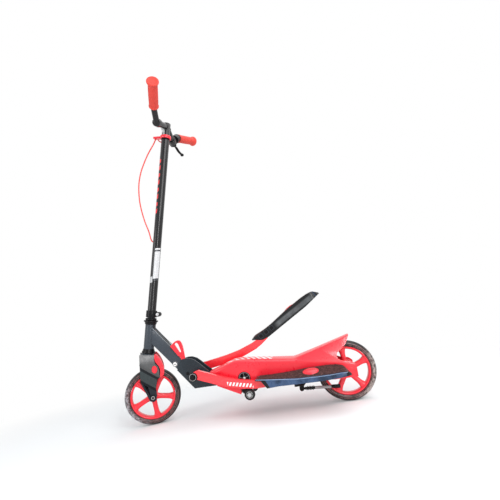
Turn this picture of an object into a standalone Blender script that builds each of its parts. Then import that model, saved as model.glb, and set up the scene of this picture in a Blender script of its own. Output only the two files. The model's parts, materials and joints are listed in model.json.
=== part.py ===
"""Stepper scooter with two pumping pedals, a folding stem and a hand brake.

Lengths are metres, +Z is up, the scooter faces -X and its left side is -Y. Pieces are laid out from the
front axle (x = 0 there, z = 0 on the ground) and then moved so that the origin is midway between the ends.
"""

import math

import bmesh
import bpy
from mathutils import Matrix, Vector

# Wheels
WHEEL_R = 0.100
TYRE_HALF = 0.0158
TYRE_DEEP = 0.0200
RIM_WALL = 0.0075
RIM_R = WHEEL_R - TYRE_DEEP
RIM_INNER_R = RIM_R - RIM_WALL
RIM_HALF = 0.0135
HUB_R = 0.0175
SPOKES = 5
WHEELBASE = 0.7013
AXLE_Z = 0.100
AXLE_R = 0.0050
SHIFT = -0.3507

# Heights are drawn with both axles at AXLE_Z, and a larger wheel lifts the whole scooter off the ground.
# Stations are drawn for DRAWN_BASE: the stretch from MID_FRONT to MID_REAR takes up any other wheelbase.
DRAWN_BASE = 0.7013
MID_FRONT = 0.375
MID_REAR = 0.517

# Steering: the axis leans back, and the fork stands turned to the left
STEER_X = 0.0123
STEER_Z = 0.300
RAKE = math.radians(11.9)
TURN = math.radians(19.7)
STEERER_R = 0.0127
STEM_R = 0.0158
HEAD_R = 0.0190

# Fold and pedal axle
PIVOT_X = 0.1804
PIVOT_Z = 0.1590
PIVOT_R = 0.0060
TUBE_HALF = 0.0150
BLOCK_IN = 0.0180
BLOCK_OUT = 0.0225
PLATE_IN = 0.0235
PLATE_OUT = 0.0285
ARM_IN = 0.0560
ARM_OUT = 0.0720
ARM_SWING = math.radians(29.6)
PEDAL_IN = 0.0600
PEDAL_OUT = 0.1300
PEDAL_TOP = 0.1335

# Body
BODY_HALF = 0.0450
WALL = 0.0030
FAIRING_R = 0.0380
FENDER_TOP = AXLE_Z + WHEEL_R + 0.0078
DIAL_X = 0.3510
DIAL_Z = 0.1275
DIAL_R = 0.0205
SPROCKET_R = 0.0160
ROLLER_X = 0.3640
ROLLER_Z = 0.0750
ROLLER_R = 0.0172

# Handlebar
BAR_R = 0.0120
COLLAR_R = 0.0155
ROD_R = 0.0110
GRIP_R = 0.0170
FLANGE_R = 0.0210
CABLE_R = 0.0024

# Gap left between neighbours, and running clearance round a shaft
GAP = 0.0003
RUN = 0.0004

FINE = 40
ROUND = 20
SMALL = 12


def clear_scene():
    for obj in list(bpy.data.objects):
        bpy.data.objects.remove(obj, do_unlink=True)


def look(name, colour, rough, metal=0.0):
    found = bpy.data.materials.get(name)
    if found:
        return found
    made = bpy.data.materials.new(name)
    made.use_nodes = True
    shader = made.node_tree.nodes["Principled BSDF"]
    shader.inputs["Base Color"].default_value = (*colour, 1.0)
    shader.inputs["Roughness"].default_value = rough
    shader.inputs["Metallic"].default_value = metal
    made.diffuse_color = (*colour, 1.0)
    return made


RED = (0.80, 0.03, 0.04)
GRIP_RED = (0.80, 0.09, 0.05)
SLATE = (0.055, 0.070, 0.090)
BLACK = (0.015, 0.015, 0.017)
GREY = (0.12, 0.12, 0.12)
STEEL = (0.55, 0.55, 0.56)
WHITE = (0.85, 0.85, 0.85)


def made_object(name, bm):
    bmesh.ops.remove_doubles(bm, verts=bm.verts, dist=1e-6)
    bmesh.ops.recalc_face_normals(bm, faces=bm.faces)
    if bm.calc_volume(signed=True) < 0:
        bmesh.ops.reverse_faces(bm, faces=bm.faces)
    mesh = bpy.data.meshes.new(name)
    bm.to_mesh(mesh)
    bm.free()
    obj = bpy.data.objects.new(name, mesh)
    bpy.context.scene.collection.objects.link(obj)
    return obj


def loft(name, rings):
    """A closed solid through rings of points, each ring with the same count."""
    bm = bmesh.new()
    rows = [[bm.verts.new(point) for point in ring] for ring in rings]
    for low, high in zip(rows, rows[1:]):
        for index in range(len(low)):
            after = (index + 1) % len(low)
            bm.faces.new((low[index], low[after], high[after], high[index]))
    bm.faces.new(rows[0])
    bm.faces.new(rows[-1])
    return made_object(name, bm)


def prism(name, outline, low, high):
    """The outline, points (x, z) from the front axle, made solid between y = low and y = high."""
    return loft(name, [[Vector((x, y, z)) for x, z in outline] for y in (low, high)])


def back(x):
    """Where a station drawn at x lies with this wheelbase."""
    share = min(max((x - MID_FRONT) / (MID_REAR - MID_FRONT), 0.0), 1.0)
    return x + share * (WHEELBASE - DRAWN_BASE)


def mm(*points):
    """Points drawn in millimetres, as stations and heights in metres."""
    return [(back(x / 1000), z / 1000) for x, z in points]


def disc(x, z, radius, count=ROUND, tall=None, start=0.0):
    tall = tall or radius
    turns = [start + math.tau * step / count for step in range(count)]
    return [(x + radius * math.cos(t), z + tall * math.sin(t)) for t in turns]


def arc(x, z, radius, first, last, count):
    turns = [math.radians(first + (last - first) * step / count) for step in range(count + 1)]
    return [(x + radius * math.cos(t), z + radius * math.sin(t)) for t in turns]


def frame_along(direction):
    return direction.normalized().to_track_quat("Z", "Y").to_matrix().to_4x4()


def lathe(name, profile, centre, direction, count=ROUND):
    """Turns the closed profile of (radius, height) points about the line through centre."""
    place = Matrix.Translation(centre) @ frame_along(direction)
    bm = bmesh.new()
    rows = []
    for step in range(count):
        turn = math.tau * step / count
        rows.append([
            bm.verts.new(place @ Vector((r * math.cos(turn), r * math.sin(turn), h)))
            for r, h in profile
        ])
    for step in range(count):
        here = rows[step]
        there = rows[(step + 1) % count]
        for index in range(len(profile)):
            after = (index + 1) % len(profile)
            ring = [here[index], there[index], there[after], here[after]]
            if profile[index][0] == 0 and profile[after][0] == 0:
                continue
            bm.faces.new(ring)
    bmesh.ops.remove_doubles(bm, verts=bm.verts, dist=1e-6)
    bmesh.ops.dissolve_degenerate(bm, edges=bm.edges, dist=1e-7)
    return made_object(name, bm)


def rod(name, start, end, radius, count=ROUND, bevel=0.0):
    start = Vector(start)
    end = Vector(end)
    length = (end - start).length
    profile = [(0, 0), (radius - bevel, 0), (radius, bevel), (radius, length - bevel),
               (radius - bevel, length), (0, length)]
    if not bevel:
        profile = [(0, 0), (radius, 0), (radius, length), (0, length)]
    return lathe(name, profile, start, end - start, count)


def pipe(name, start, end, outer, inner, count=ROUND):
    start = Vector(start)
    end = Vector(end)
    length = (end - start).length
    profile = [(inner, 0), (outer, 0), (outer, length), (inner, length)]
    return lathe(name, profile, start, end - start, count)


def smooth_path(points, per_span):
    """Points on a curve that passes through every given point."""
    points = [Vector(point) for point in points]
    ends = [2 * points[0] - points[1], *points, 2 * points[-1] - points[-2]]
    path = []
    for index in range(1, len(ends) - 2):
        a, b, c, d = ends[index - 1:index + 3]
        for step in range(per_span):
            t = step / per_span
            path.append(0.5 * (2 * b + (c - a) * t + (2 * a - 5 * b + 4 * c - d) * t ** 2
                               + (3 * b - a - 3 * c + d) * t ** 3))
    path.append(points[-1])
    return path


def sweep(name, path, radius, count=SMALL):
    """A round bar along the path, with its rings carried along without twist."""
    rings = []
    side = None
    for index, point in enumerate(path):
        before = path[max(index - 1, 0)]
        after = path[min(index + 1, len(path) - 1)]
        ahead = (after - before).normalized()
        if side is None:
            side = ahead.orthogonal().normalized()
        side = (side - ahead * side.dot(ahead)).normalized()
        other = ahead.cross(side)
        rings.append([
            point + radius * (math.cos(turn) * side + math.sin(turn) * other)
            for turn in (math.tau * step / count for step in range(count))
        ])
    return loft(name, rings)


def combine(target, tools, operation):
    for tool in tools:
        step = target.modifiers.new(operation.lower(), "BOOLEAN")
        step.operation = operation
        step.solver = "EXACT"
        step.object = tool
        bpy.context.view_layer.update()
        graph = bpy.context.evaluated_depsgraph_get()
        mesh = bpy.data.meshes.new_from_object(target.evaluated_get(graph))
        target.modifiers.clear()
        target.data = mesh
        mesh.name = target.name
        bpy.data.objects.remove(tool, do_unlink=True)
    bm = bmesh.new()
    bm.from_mesh(target.data)
    bmesh.ops.remove_doubles(bm, verts=bm.verts, dist=2e-6)
    bmesh.ops.dissolve_limit(bm, angle_limit=math.radians(0.2), verts=bm.verts, edges=bm.edges)
    drop_crumbs(bm)
    loose = [edge for edge in bm.edges if not edge.link_faces]
    bmesh.ops.delete(bm, geom=loose, context="EDGES")
    bm.to_mesh(target.data)
    bm.free()
    return target


def drop_crumbs(bm):
    """Removes any loose sliver under a millimetre long that a Boolean left beside the body."""
    left = set(bm.verts)
    while left:
        island = {left.pop()}
        edge = set(island)
        while edge:
            edge = {link.other_vert(vert) for vert in edge for link in vert.link_edges} - island
            island |= edge
        left -= island
        size = max(max(v.co[axis] for v in island) - min(v.co[axis] for v in island) for axis in range(3))
        if size < 0.001:
            bmesh.ops.delete(bm, geom=list(island), context="VERTS")


def join(target, *tools):
    return combine(target, tools, "UNION")


def cut(target, *tools):
    return combine(target, tools, "DIFFERENCE")


def keep(target, *tools):
    return combine(target, tools, "INTERSECT")


def finish(obj, material):
    obj.data.materials.clear()
    obj.data.materials.append(material)
    return obj


def on_axis(along, across=0.0, side=0.0):
    """The point that far along the steering axis from its reference point, and that far behind it."""
    return Vector((
        STEER_X + along * math.sin(RAKE) + across * math.cos(RAKE),
        side,
        STEER_Z + along * math.cos(RAKE) - across * math.sin(RAKE),
    ))


STEER_DIR = Vector((math.sin(RAKE), 0, math.cos(RAKE)))
ACROSS = Vector((0, 1, 0))

RED_PAINT = look("red_body", RED, 0.35)
RED_RIM = look("red_rim", RED, 0.40)
RUBBER = look("tyre_rubber", (0.05, 0.045, 0.045), 0.8)
PAINT = look("slate_paint", SLATE, 0.45)
GLOSS = look("black_gloss", BLACK, 0.25)
DARK = look("black_plastic", BLACK, 0.55)
COVER = look("grey_cover", GREY, 0.6)
METAL = look("bright_steel", STEEL, 0.3, 1.0)
GRIP = look("red_grip", GRIP_RED, 0.6)


def wheel(prefix, x, first):
    axle = Vector((x, 0, AXLE_Z))
    foot = RIM_R + GAP
    half = [(foot, 0.0125), (WHEEL_R - 0.0130, TYRE_HALF), (WHEEL_R - 0.0055, 0.0150), (WHEEL_R - 0.0013, 0.0100),
            (WHEEL_R, 0.0035)]
    profile = half + [(r, -h) for r, h in reversed(half)]
    tyre = finish(lathe(prefix + "_tyre", profile, axle, ACROSS, FINE), RUBBER)
    lip = RIM_HALF - 0.0020
    ring = [(RIM_INNER_R, -lip), (RIM_INNER_R + 0.002, -RIM_HALF), (RIM_R, -RIM_HALF + 0.001),
            (RIM_R, RIM_HALF - 0.001), (RIM_INNER_R + 0.002, RIM_HALF), (RIM_INNER_R, lip)]
    rim = lathe(prefix + "_rim", ring, axle, ACROSS, FINE)
    hub = [(AXLE_R + RUN, -0.0140), (HUB_R - 0.0015, -0.0140), (HUB_R, -0.0125), (HUB_R, 0.0125),
           (HUB_R - 0.0015, 0.0140), (AXLE_R + RUN, 0.0140)]
    spokes = []
    for index in range(SPOKES):
        turn = math.radians(first + 360 / SPOKES * index)
        spin = Matrix.Translation(axle) @ Matrix.Rotation(-turn, 4, "Y")
        rings = []
        for reach, wide, deep in ((HUB_R - 0.004, 0.0078, 0.0100), (0.045, 0.0066, 0.0092),
                                  (RIM_INNER_R - 0.008, 0.0076, 0.0095), (RIM_INNER_R + 0.003, 0.0128, 0.0105)):
            flat = wide * 0.55
            corners = [(flat, deep), (wide, 0), (flat, -deep), (-flat, -deep), (-wide, 0), (-flat, deep)]
            rings.append([spin @ Vector((reach, y, z)) for z, y in corners])
        spokes.append(loft("spoke", rings))
    join(rim, lathe("hub", hub, axle, ACROSS, ROUND), *spokes)
    cut(rim, rod("bore", axle - ACROSS * 0.03, axle + ACROSS * 0.03, AXLE_R + RUN))
    return [tyre, finish(rim, RED_RIM)]


def hex_nut(name, start, end, size, shaft):
    nut = rod(name, start, end, size, 6)
    ahead = (Vector(end) - Vector(start)).normalized() * 0.004
    return cut(nut, rod("bore", Vector(start) - ahead, Vector(end) + ahead, shaft + GAP))


def axle_set(prefix, x, reach, head):
    """A through bolt with its head on the left and a nut on the right, both outside y = reach."""
    axle = Vector((x, 0, AXLE_Z))
    bolt = rod(prefix + "_axle", axle - ACROSS * (reach + GAP + 0.002), axle + ACROSS * (reach + 0.0065), AXLE_R)
    join(bolt, rod("head", axle - ACROSS * (reach + GAP + 0.0045), axle - ACROSS * (reach + GAP), head, ROUND, 0.001))
    nut = hex_nut(prefix + "_axle_nut", axle + ACROSS * (reach + GAP), axle + ACROSS * (reach + 0.0058), head, AXLE_R)
    return [finish(bolt, METAL), finish(nut, METAL)]


# Fork


LEG_OUT = 0.0250
COVER_OUT = 0.0290
SHOE_GAP = 0.0035
SHOE_DEEP = 0.0145
CROWN_GAP = 0.0220


def fork_set():
    foot = [(0.009, 0.0905), (0.0, 0.087), (-0.0085, 0.0905), (-0.0128, 0.098)]
    leg = mm((-24, 254), (21, 245), (33, 232), (38, 206), (33, 178), (22, 163), (13, 138), (13, 104))
    leg += foot + mm((-33, 160), (-29, 212), (-28, 238))
    crown = mm((-24, 254), (21, 245), (33, 232)) + arc(0, AXLE_Z, WHEEL_R + CROWN_GAP, 74, 106, 6) + mm((-28, 238))
    fork = prism("fork", crown, -0.0195, 0.0195)
    join(fork, prism("leg", leg, -LEG_OUT, -0.0190), prism("leg", leg, 0.0190, LEG_OUT))
    join(fork, rod("steerer", on_axis(-0.066), on_axis(0.140), STEERER_R))
    join(fork, rod("race", on_axis(-0.060), on_axis(-0.0465), 0.0215))
    axle = Vector((0, 0, AXLE_Z))
    cut(fork, rod("bore", axle - ACROSS * 0.05, axle + ACROSS * 0.05, AXLE_R + GAP))
    pieces = [finish(fork, PAINT)]
    # Covers
    outer = mm((-28, 257), (22, 247.5), (29, 247), (42, 226), (49.5, 193), (46, 175), (34, 167), (24, 160),
               (15, 138), (15, 104))
    outer += [(0.0105, 0.0885), (0.0, 0.0845), (-0.0100, 0.0885), (-0.0145, 0.098)] + mm((-36, 162), (-32, 214), (-30, 240))
    middle = mm((-27.5, 256.5), (21.5, 247), (28.5, 246.5), (41.5, 225.8), (49, 193), (45.5, 175.4), (33.6, 167.6),
                (23.6, 160.3), (14.3, 128.5), (-35, 170), (-31.5, 214), (-29.5, 240))
    upper = mm((-27, 256), (21, 246.5), (28, 246), (41, 225.5), (48.5, 193), (45, 176), (33, 168.2), (24.6, 169),
               (-31, 214), (-29, 240))
    band = mm((25, 248), (29.6, 249), (43, 226.4), (51, 193), (47.2, 174), (35.5, 166), (32.5, 176), (34, 190),
              (32, 205), (23, 217), (21, 233))
    wider = mm((24.7, 248.3), (23, 262), (60, 262), (60, 150), (35.6, 165.0), (32.1, 175.9), (33.6, 190), (31.6, 204.8),
               (22.7, 216.7), (20.7, 233))
    oval = disc(0.0180, 0.1970, 0.0098, 24, 0.0135)
    wide_oval = disc(0.0180, 0.1970, 0.0102, 24, 0.0139)
    for side, hand in ((-1, "left"), (1, "right")):
        low = side * (LEG_OUT + GAP)
        cover = prism("fork_cover_" + hand, outer, low, side * COVER_OUT)
        join(cover, prism("step", middle, low + side * 0.002, side * (COVER_OUT + 0.0015)))
        join(cover, prism("step", upper, low + side * 0.002, side * (COVER_OUT + 0.0030)))
        cut(cover, prism("room", wider, side * 0.02, side * 0.04))
        cut(cover, prism("room", wide_oval, side * 0.02, side * 0.04))
        cut(cover, rod("bore", axle - ACROSS * 0.05, axle + ACROSS * 0.05, AXLE_R + GAP))
        pieces.append(finish(cover, COVER))
        inlay = prism("fork_inlay_" + hand, band, low, side * (COVER_OUT + 0.0036))
        pieces.append(finish(inlay, RED_PAINT))
        badge = prism("fork_badge_" + hand, oval, low, side * (COVER_OUT + 0.0040))
        pieces.append(finish(badge, RED_PAINT))
    # Brake shoe between the crown and the tyre
    shoe = arc(0, AXLE_Z, WHEEL_R + SHOE_GAP, 80, 100, 5)
    shoe += arc(0, AXLE_Z, WHEEL_R + SHOE_GAP + SHOE_DEEP, 100, 80, 3)
    pieces.append(finish(prism("brake_shoe", shoe, -0.0187, 0.0187), DARK))
    nut = lathe("headset_locknut", [(STEERER_R + GAP, 0), (0.0200, 0), (0.0205, 0.003), (0.0205, 0.006), (0.0175, 0.0075),
                                    (STEERER_R + GAP, 0.0075)], on_axis(0.0738), STEER_DIR, 24)
    pieces.append(finish(nut, DARK))
    return pieces


# Front frame


def front_frame_set():
    head = pipe("head_frame", on_axis(-0.0307), on_axis(0.0580), HEAD_R, 0.0150, 24)
    tube = mm((22, 333), (29, 348), (132, 217), (146, 213), (165, 204), (184, 189), (196, 172), (197, 156),
              (186, 142), (168, 134), (152, 135.5), (117.5, 175.5), (20, 293), (14, 312))
    join(head, prism("tube", tube, -TUBE_HALF, TUBE_HALF))
    cut(head, rod("room", on_axis(-0.06), on_axis(0.09), 0.0150, 24))
    pivot = Vector((PIVOT_X, 0, PIVOT_Z))
    join(head, rod("boss", pivot - ACROSS * 0.0175, pivot + ACROSS * 0.0175, 0.0180))
    cut(head, rod("bore", pivot - ACROSS * 0.05, pivot + ACROSS * 0.05, PIVOT_R + RUN))
    pin = Vector((0.1360, 0, 0.2060))
    cut(head, rod("bore", pin - ACROSS * 0.03, pin - ACROSS * 0.003, 0.0030 + GAP, SMALL))
    lower = lathe("headset_lower_cup", [(0.0134, 0), (0.0238, 0), (0.0243, 0.0045), (0.0215, 0.0090), (0.0205, 0.0149),
                                        (0.0134, 0.0149)], on_axis(-0.0460), STEER_DIR, 24)
    upper = lathe("headset_upper_cup", [(0.0134, 0), (0.0205, 0), (0.0222, 0.0060), (0.0222, 0.0085), (0.0262, 0.0098),
                                        (0.0262, 0.0138), (0.0215, 0.0151), (0.0134, 0.0151)], on_axis(0.0583), STEER_DIR, 24)
    label = prism("round_label", disc(0.1035, 0.2030, 0.0092), -TUBE_HALF - GAP - 0.0006, -TUBE_HALF - GAP)
    pieces = [finish(head, PAINT), finish(lower, DARK), finish(upper, DARK),
              finish(label, look("label_white", WHITE, 0.4))]
    # Release lever on the left side of the tube
    low = -TUBE_HALF - GAP
    thin = low - 0.0023
    loop = mm((95, 268), (106, 276.5), (114, 282.5), (124, 285.5), (133, 283.5), (138.5, 274), (141.5, 262), (143.5, 243),
              (144, 229), (128.5, 229), (121.5, 230))
    tab = mm((125, 240), (138, 240), (144, 229), (144.5, 219), (143.5, 206), (141, 200.5), (136, 198.5), (131, 200.5),
             (128.5, 206), (129, 219), (121.5, 230))
    hole = mm((112, 272.5), (115.5, 277), (121.5, 277.5), (126, 271), (133.5, 245), (131, 241.5), (127, 243.5))
    lever = prism("release_lever", loop, low - 0.0060, low)
    join(lever, prism("tab", tab, thin, low))
    cut(lever, prism("opening", hole, -0.04, -0.01))
    cut(lever, rod("bore", pin - ACROSS * 0.04, pin - ACROSS * 0.005, 0.0030 + RUN, SMALL))
    pieces.append(finish(lever, RED_PAINT))
    bolt = rod("release_lever_bolt", pin + ACROSS * -0.0040, pin + ACROSS * thin, 0.0030, SMALL)
    pieces.append(finish(bolt, METAL))
    return pieces


# Stem and handlebar


BAR_ELBOW = Vector((0.1746, 0.0894, 1.0889))
BAR_BEND = Vector((0.1830, 0.1279, 1.1202))
BAR_END = Vector((0.2282, 0.2458, 1.1482))


def sided(point, side):
    return Vector((point.x, point.y * side, point.z))


def handlebar_set():
    stem = rod("handlebar_stem", on_axis(0.0830), on_axis(0.8420), STEM_R, 24)
    cut(stem, rod("room", on_axis(0.05), on_axis(0.790), STEERER_R + GAP, 24))
    centre = on_axis(0.8285)
    for side in (-1, 1):
        elbow = sided(BAR_ELBOW, side)
        bend = sided(BAR_BEND, side)
        end = sided(BAR_END, side)
        across = (elbow - centre).normalized()
        out = (end - bend).normalized()
        join(stem, rod("cross", centre, elbow + across * 0.004, BAR_R, 24))
        join(stem, rod("collar", elbow - across * 0.0180, elbow + across * 0.0060, COLLAR_R, 24, 0.001))
        riser = (bend - elbow).normalized()
        join(stem, rod("riser", elbow - riser * 0.002, bend + riser * 0.006, ROD_R, 24))
        join(stem, rod("hand", bend - out * 0.001, end - out * 0.008, ROD_R, 24))
    cut(stem, rod("hole", (0.050, 0, 0.684), (0.090, 0, 0.650), CABLE_R + 0.0012, SMALL))
    pieces = [finish(stem, GLOSS)]
    for side, hand in ((-1, "left"), (1, "right")):
        end = sided(BAR_END, side)
        start = sided(BAR_BEND, side)
        out = (end - start).normalized()
        start = start + out * 0.012
        long = (end - start).length
        r = ROD_R + GAP
        profile = [(r, 0), (0.0175, 0), (0.0182, 0.003), (GRIP_R, 0.007), (GRIP_R, long - 0.013), (0.0195, long - 0.009),
                   (FLANGE_R, long - 0.006), (FLANGE_R, long - 0.002), (0.0190, long), (0, long),
                   (0, long - 0.0065), (r, long - 0.0065)]
        pieces.append(finish(lathe("grip_" + hand, profile, start, out, 24), GRIP))
    # Clamp round the foot of the stem
    clamp = pipe("stem_clamp", on_axis(0.0845), on_axis(0.1085), 0.0200, STEM_R + GAP, 24)
    eye = on_axis(0.0965, 0.0275)
    ears = rod("ears", eye - ACROSS * 0.0100, eye + ACROSS * 0.0100, 0.0085, 16)
    spread = [on_axis(0.0885, 0.0170), on_axis(0.0885, 0.0290), on_axis(0.1045, 0.0290), on_axis(0.1045, 0.0170)]
    neck = prism("neck", [(p.x, p.z) for p in spread], -0.0100, 0.0100)
    join(clamp, ears, neck)
    slot = [on_axis(0.07, 0.010), on_axis(0.07, 0.050), on_axis(0.12, 0.050), on_axis(0.12, 0.010)]
    cut(clamp, rod("room", on_axis(0.07), on_axis(0.12), STEM_R + GAP, 24))
    cut(clamp, prism("slot", [(p.x, p.z) for p in slot], -0.0012, 0.0012))
    cut(clamp, rod("bore", eye - ACROSS * 0.03, eye + ACROSS * 0.03, 0.0030 + GAP, SMALL))
    pieces.append(finish(clamp, DARK))
    bolt = rod("clamp_bolt", eye - ACROSS * 0.0120, eye + ACROSS * 0.0120, 0.0030, SMALL)
    join(bolt, rod("head", eye - ACROSS * 0.0150, eye - ACROSS * 0.0103, 0.0058, 20, 0.0008))
    join(bolt, rod("head", eye + ACROSS * 0.0103, eye + ACROSS * 0.0140, 0.0055, 6))
    pieces.append(finish(bolt, METAL))
    return pieces


LEVER_PIVOT = Vector((0.1680, 0.1220, 1.0920))
GRIP_DIR = (BAR_END - BAR_BEND).normalized()
LEVER_TIP = Vector((0.1835, 0.1850, 1.0665))
AWAY = Vector((-0.206, 0.298, -0.932))
AWAY = (AWAY - GRIP_DIR * AWAY.dot(GRIP_DIR)).normalized()
LEVER_AXIS = AWAY.cross(GRIP_DIR).normalized()


def brake_set():
    middle = BAR_ELBOW.lerp(BAR_BEND, 0.74)
    riser = (BAR_BEND - BAR_ELBOW).normalized()
    pivot = LEVER_PIVOT
    perch = rod("brake_perch", middle - riser * 0.0100, middle + riser * 0.0100, 0.0178, 24, 0.001)
    block = loft("block", [
        [pivot + GRIP_DIR * a - AWAY * b + LEVER_AXIS * w for a, b in
         ((-0.014, -0.007), (0.004, -0.009), (0.009, 0.000), (0.006, 0.024), (-0.012, 0.024))]
        for w in (-0.0070, 0.0070)])
    join(perch, block)
    inward = Vector((-0.55, -0.82, -0.16)).normalized()
    mouth = pivot + Vector((-0.002, -0.006, 0.001))
    join(perch, rod("barrel", mouth, mouth + inward * 0.0250, 0.0048, SMALL))
    cut(perch, rod("room", middle - riser * 0.03, middle + riser * 0.014, ROD_R + GAP, 24))
    cut(perch, loft("slot", [
        [pivot + GRIP_DIR * a - AWAY * b + LEVER_AXIS * w for a, b in
         ((-0.0085, -0.020), (0.030, -0.020), (0.030, 0.009), (-0.0085, 0.009))]
        for w in (-0.0028, 0.0028)]))
    join(perch, rod("pin", pivot - LEVER_AXIS * 0.0085, pivot + LEVER_AXIS * 0.0085, 0.0022, 12))
    pieces = [finish(perch, DARK)]
    lever = rod("brake_lever", pivot - LEVER_AXIS * 0.0024, pivot + LEVER_AXIS * 0.0024, 0.0062, 16)
    reach = LEVER_TIP - pivot
    path = smooth_path([pivot, pivot + reach * 0.30 + AWAY * -0.001, pivot + reach * 0.62 + AWAY * 0.003, LEVER_TIP], 4)
    flat = []
    for index, point in enumerate(path):
        ahead = (path[min(index + 1, len(path) - 1)] - path[max(index - 1, 0)]).normalized()
        over = LEVER_AXIS.cross(ahead)
        wide = 0.0023 if index < 3 else 0.0045
        deep = 0.0030
        flat.append([point + LEVER_AXIS * wide * math.cos(t) + over * deep * math.sin(t)
                     for t in (math.tau * step / 12 for step in range(12))])
    join(lever, loft("blade", flat))
    tip = LEVER_TIP
    join(lever, rod("tip", tip - LEVER_AXIS * 0.0046, tip + LEVER_AXIS * 0.0046, 0.0055, SMALL, 0.001))
    cut(lever, rod("bore", pivot - LEVER_AXIS * 0.02, pivot + LEVER_AXIS * 0.02, 0.0022 + RUN, 12))
    pieces.append(finish(lever, DARK))
    # Cable from the barrel, through the clip on the stem, down to the hole in the stem
    first = mouth + inward * (0.0250 + GAP)
    route = [first, first + inward * 0.015, (0.1340, 0.045, 1.0800), (0.1348, 0.012, 1.0790), (0.1300, 0.002, 1.0660),
             (0.1205, 0, 1.0490), (0.1062, 0, 1.0310), (0.0880, 0, 1.0050), (0.0620, 0, 0.9580), (0.0470, 0, 0.9170),
             (0.0400, 0, 0.8780), (0.0380, 0, 0.8330), (0.0410, 0, 0.7950), (0.0490, 0, 0.7480), (0.0600, 0, 0.7060),
             (0.0665, 0, 0.6700), (0.0780, 0, 0.6602)]
    cable = sweep("brake_cable", smooth_path(route, 3), CABLE_R, 8)
    pieces.append(finish(cable, look("red_cable", GRIP_RED, 0.35)))
    height = 0.7840
    ring = pipe("cable_clip", on_axis(height - 0.004), on_axis(height + 0.004), 0.0196, STEM_R + GAP, 24)
    lug = loft("lug", [[on_axis(height + a, n, y) for n, y in
                        ((-0.0180, -0.008), (-0.0180, 0.009), (-0.0480, 0.012), (-0.0500, -0.003))]
                       for a in (-0.0035, 0.0035)])
    cut(lug, rod("room", on_axis(height - 0.02), on_axis(height + 0.02), STEM_R + 2 * GAP, 24))
    cut(lug, sweep("room", smooth_path(route, 3)[7:17], CABLE_R + 2 * GAP, 8))
    join(ring, lug)
    pieces.append(finish(ring, RED_PAINT))
    return pieces


# Rear frame


REAR = WHEELBASE


def frame_set():
    block = mm((111, 181.5), (119, 203), (131, 216), (145, 218.5), (160, 217.5), (177, 210.5), (192, 197.5), (208, 181),
               (228.4, 162), (228.6, 153.5), (262, 152), (284, 150.5), (284, 122.5), (250.8, 122.5), (248.6, 112),
               (167, 111.5))
    side = mm((268, 151.5), (300, 150), (560, 130), (640, 122), (688, 117))
    side += arc(REAR, AXLE_Z, 0.0170, 80, -110, 10)
    side += mm((640, 100), (560, 104), (300, 112), (268, 122.5))
    frame = prism("main_frame", side, -PLATE_OUT, -PLATE_IN)
    right = prism("side", side, PLATE_IN, PLATE_OUT)
    front = prism("cross", mm((262, 123.5), (262, 146), (297, 141), (297, 123.5)), -0.0260, 0.0260)
    rear = prism("cross", mm((542, 103.5 + 2), (542, 122), (574, 119), (574, 105.5)), -0.0260, 0.0260)
    left_block = prism("block", block, -BLOCK_OUT, -BLOCK_IN)
    right_block = prism("block", block, BLOCK_IN, BLOCK_OUT)
    join(frame, front, right, rear, left_block, right_block)
    ends = ((PIVOT_X, PIVOT_Z, PIVOT_R + GAP, ROUND), (REAR, AXLE_Z, AXLE_R + GAP, ROUND), (DIAL_X, DIAL_Z, 0.0044, SMALL),
            (0.1480, 0.1660, 0.0030, SMALL))
    for x, z, radius, count in ends:
        cut(frame, rod("bore", (x, -0.05, z), (x, 0.05, z), radius, count))
    pieces = [finish(frame, PAINT)]
    screw = rod("plate_screw_left", (0.1480, -0.0185, 0.1660), (0.1480, -0.0240, 0.1660), 0.0027, SMALL)
    join(screw, rod("head", (0.1480, -BLOCK_OUT - GAP, 0.1660), (0.1480, -0.0252, 0.1660), 0.0052, SMALL, 0.0006))
    pieces.append(finish(screw, METAL))
    # Through bolt of the fold and the pedal arms
    low = (PIVOT_X, -ARM_OUT - 0.0050, PIVOT_Z)
    bolt = rod("pivot_bolt", low, (PIVOT_X, ARM_OUT + 0.0105, PIVOT_Z), PIVOT_R)
    join(bolt, rod("head", (PIVOT_X, -ARM_OUT - 0.0095, PIVOT_Z), (PIVOT_X, -ARM_OUT - 0.0048, PIVOT_Z), 0.0082, 6))
    pieces.append(finish(bolt, METAL))
    nut = hex_nut("pivot_nut", (PIVOT_X, ARM_OUT + 0.0048, PIVOT_Z), (PIVOT_X, ARM_OUT + 0.0098, PIVOT_Z), 0.0092, PIVOT_R)
    pieces.append(finish(nut, METAL))
    for side, hand in ((-1, "left"), (1, "right")):
        cap = lathe("pivot_cap_" + hand, [(PIVOT_R + GAP, 0), (0.0122, 0), (0.0130, 0.0010), (0.0130, 0.0030),
                                          (0.0115, 0.0042), (0.0098, 0.0042), (PIVOT_R + GAP, 0.0042)],
                    Vector((PIVOT_X, side * (ARM_OUT + GAP), PIVOT_Z)), ACROSS * side)
        pieces.append(finish(cap, DARK))
    return pieces


# Pedal arms and pedals


def pedal_ring(x, near, far, top, low, rim, skirt=0.0):
    points = ((near, low - skirt), (near, top - rim), (near + rim, top), (far - rim, top), (far, top - 1.3 * rim), (far, low))
    return [Vector((back(x), -y, z)) for y, z in points]


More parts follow.
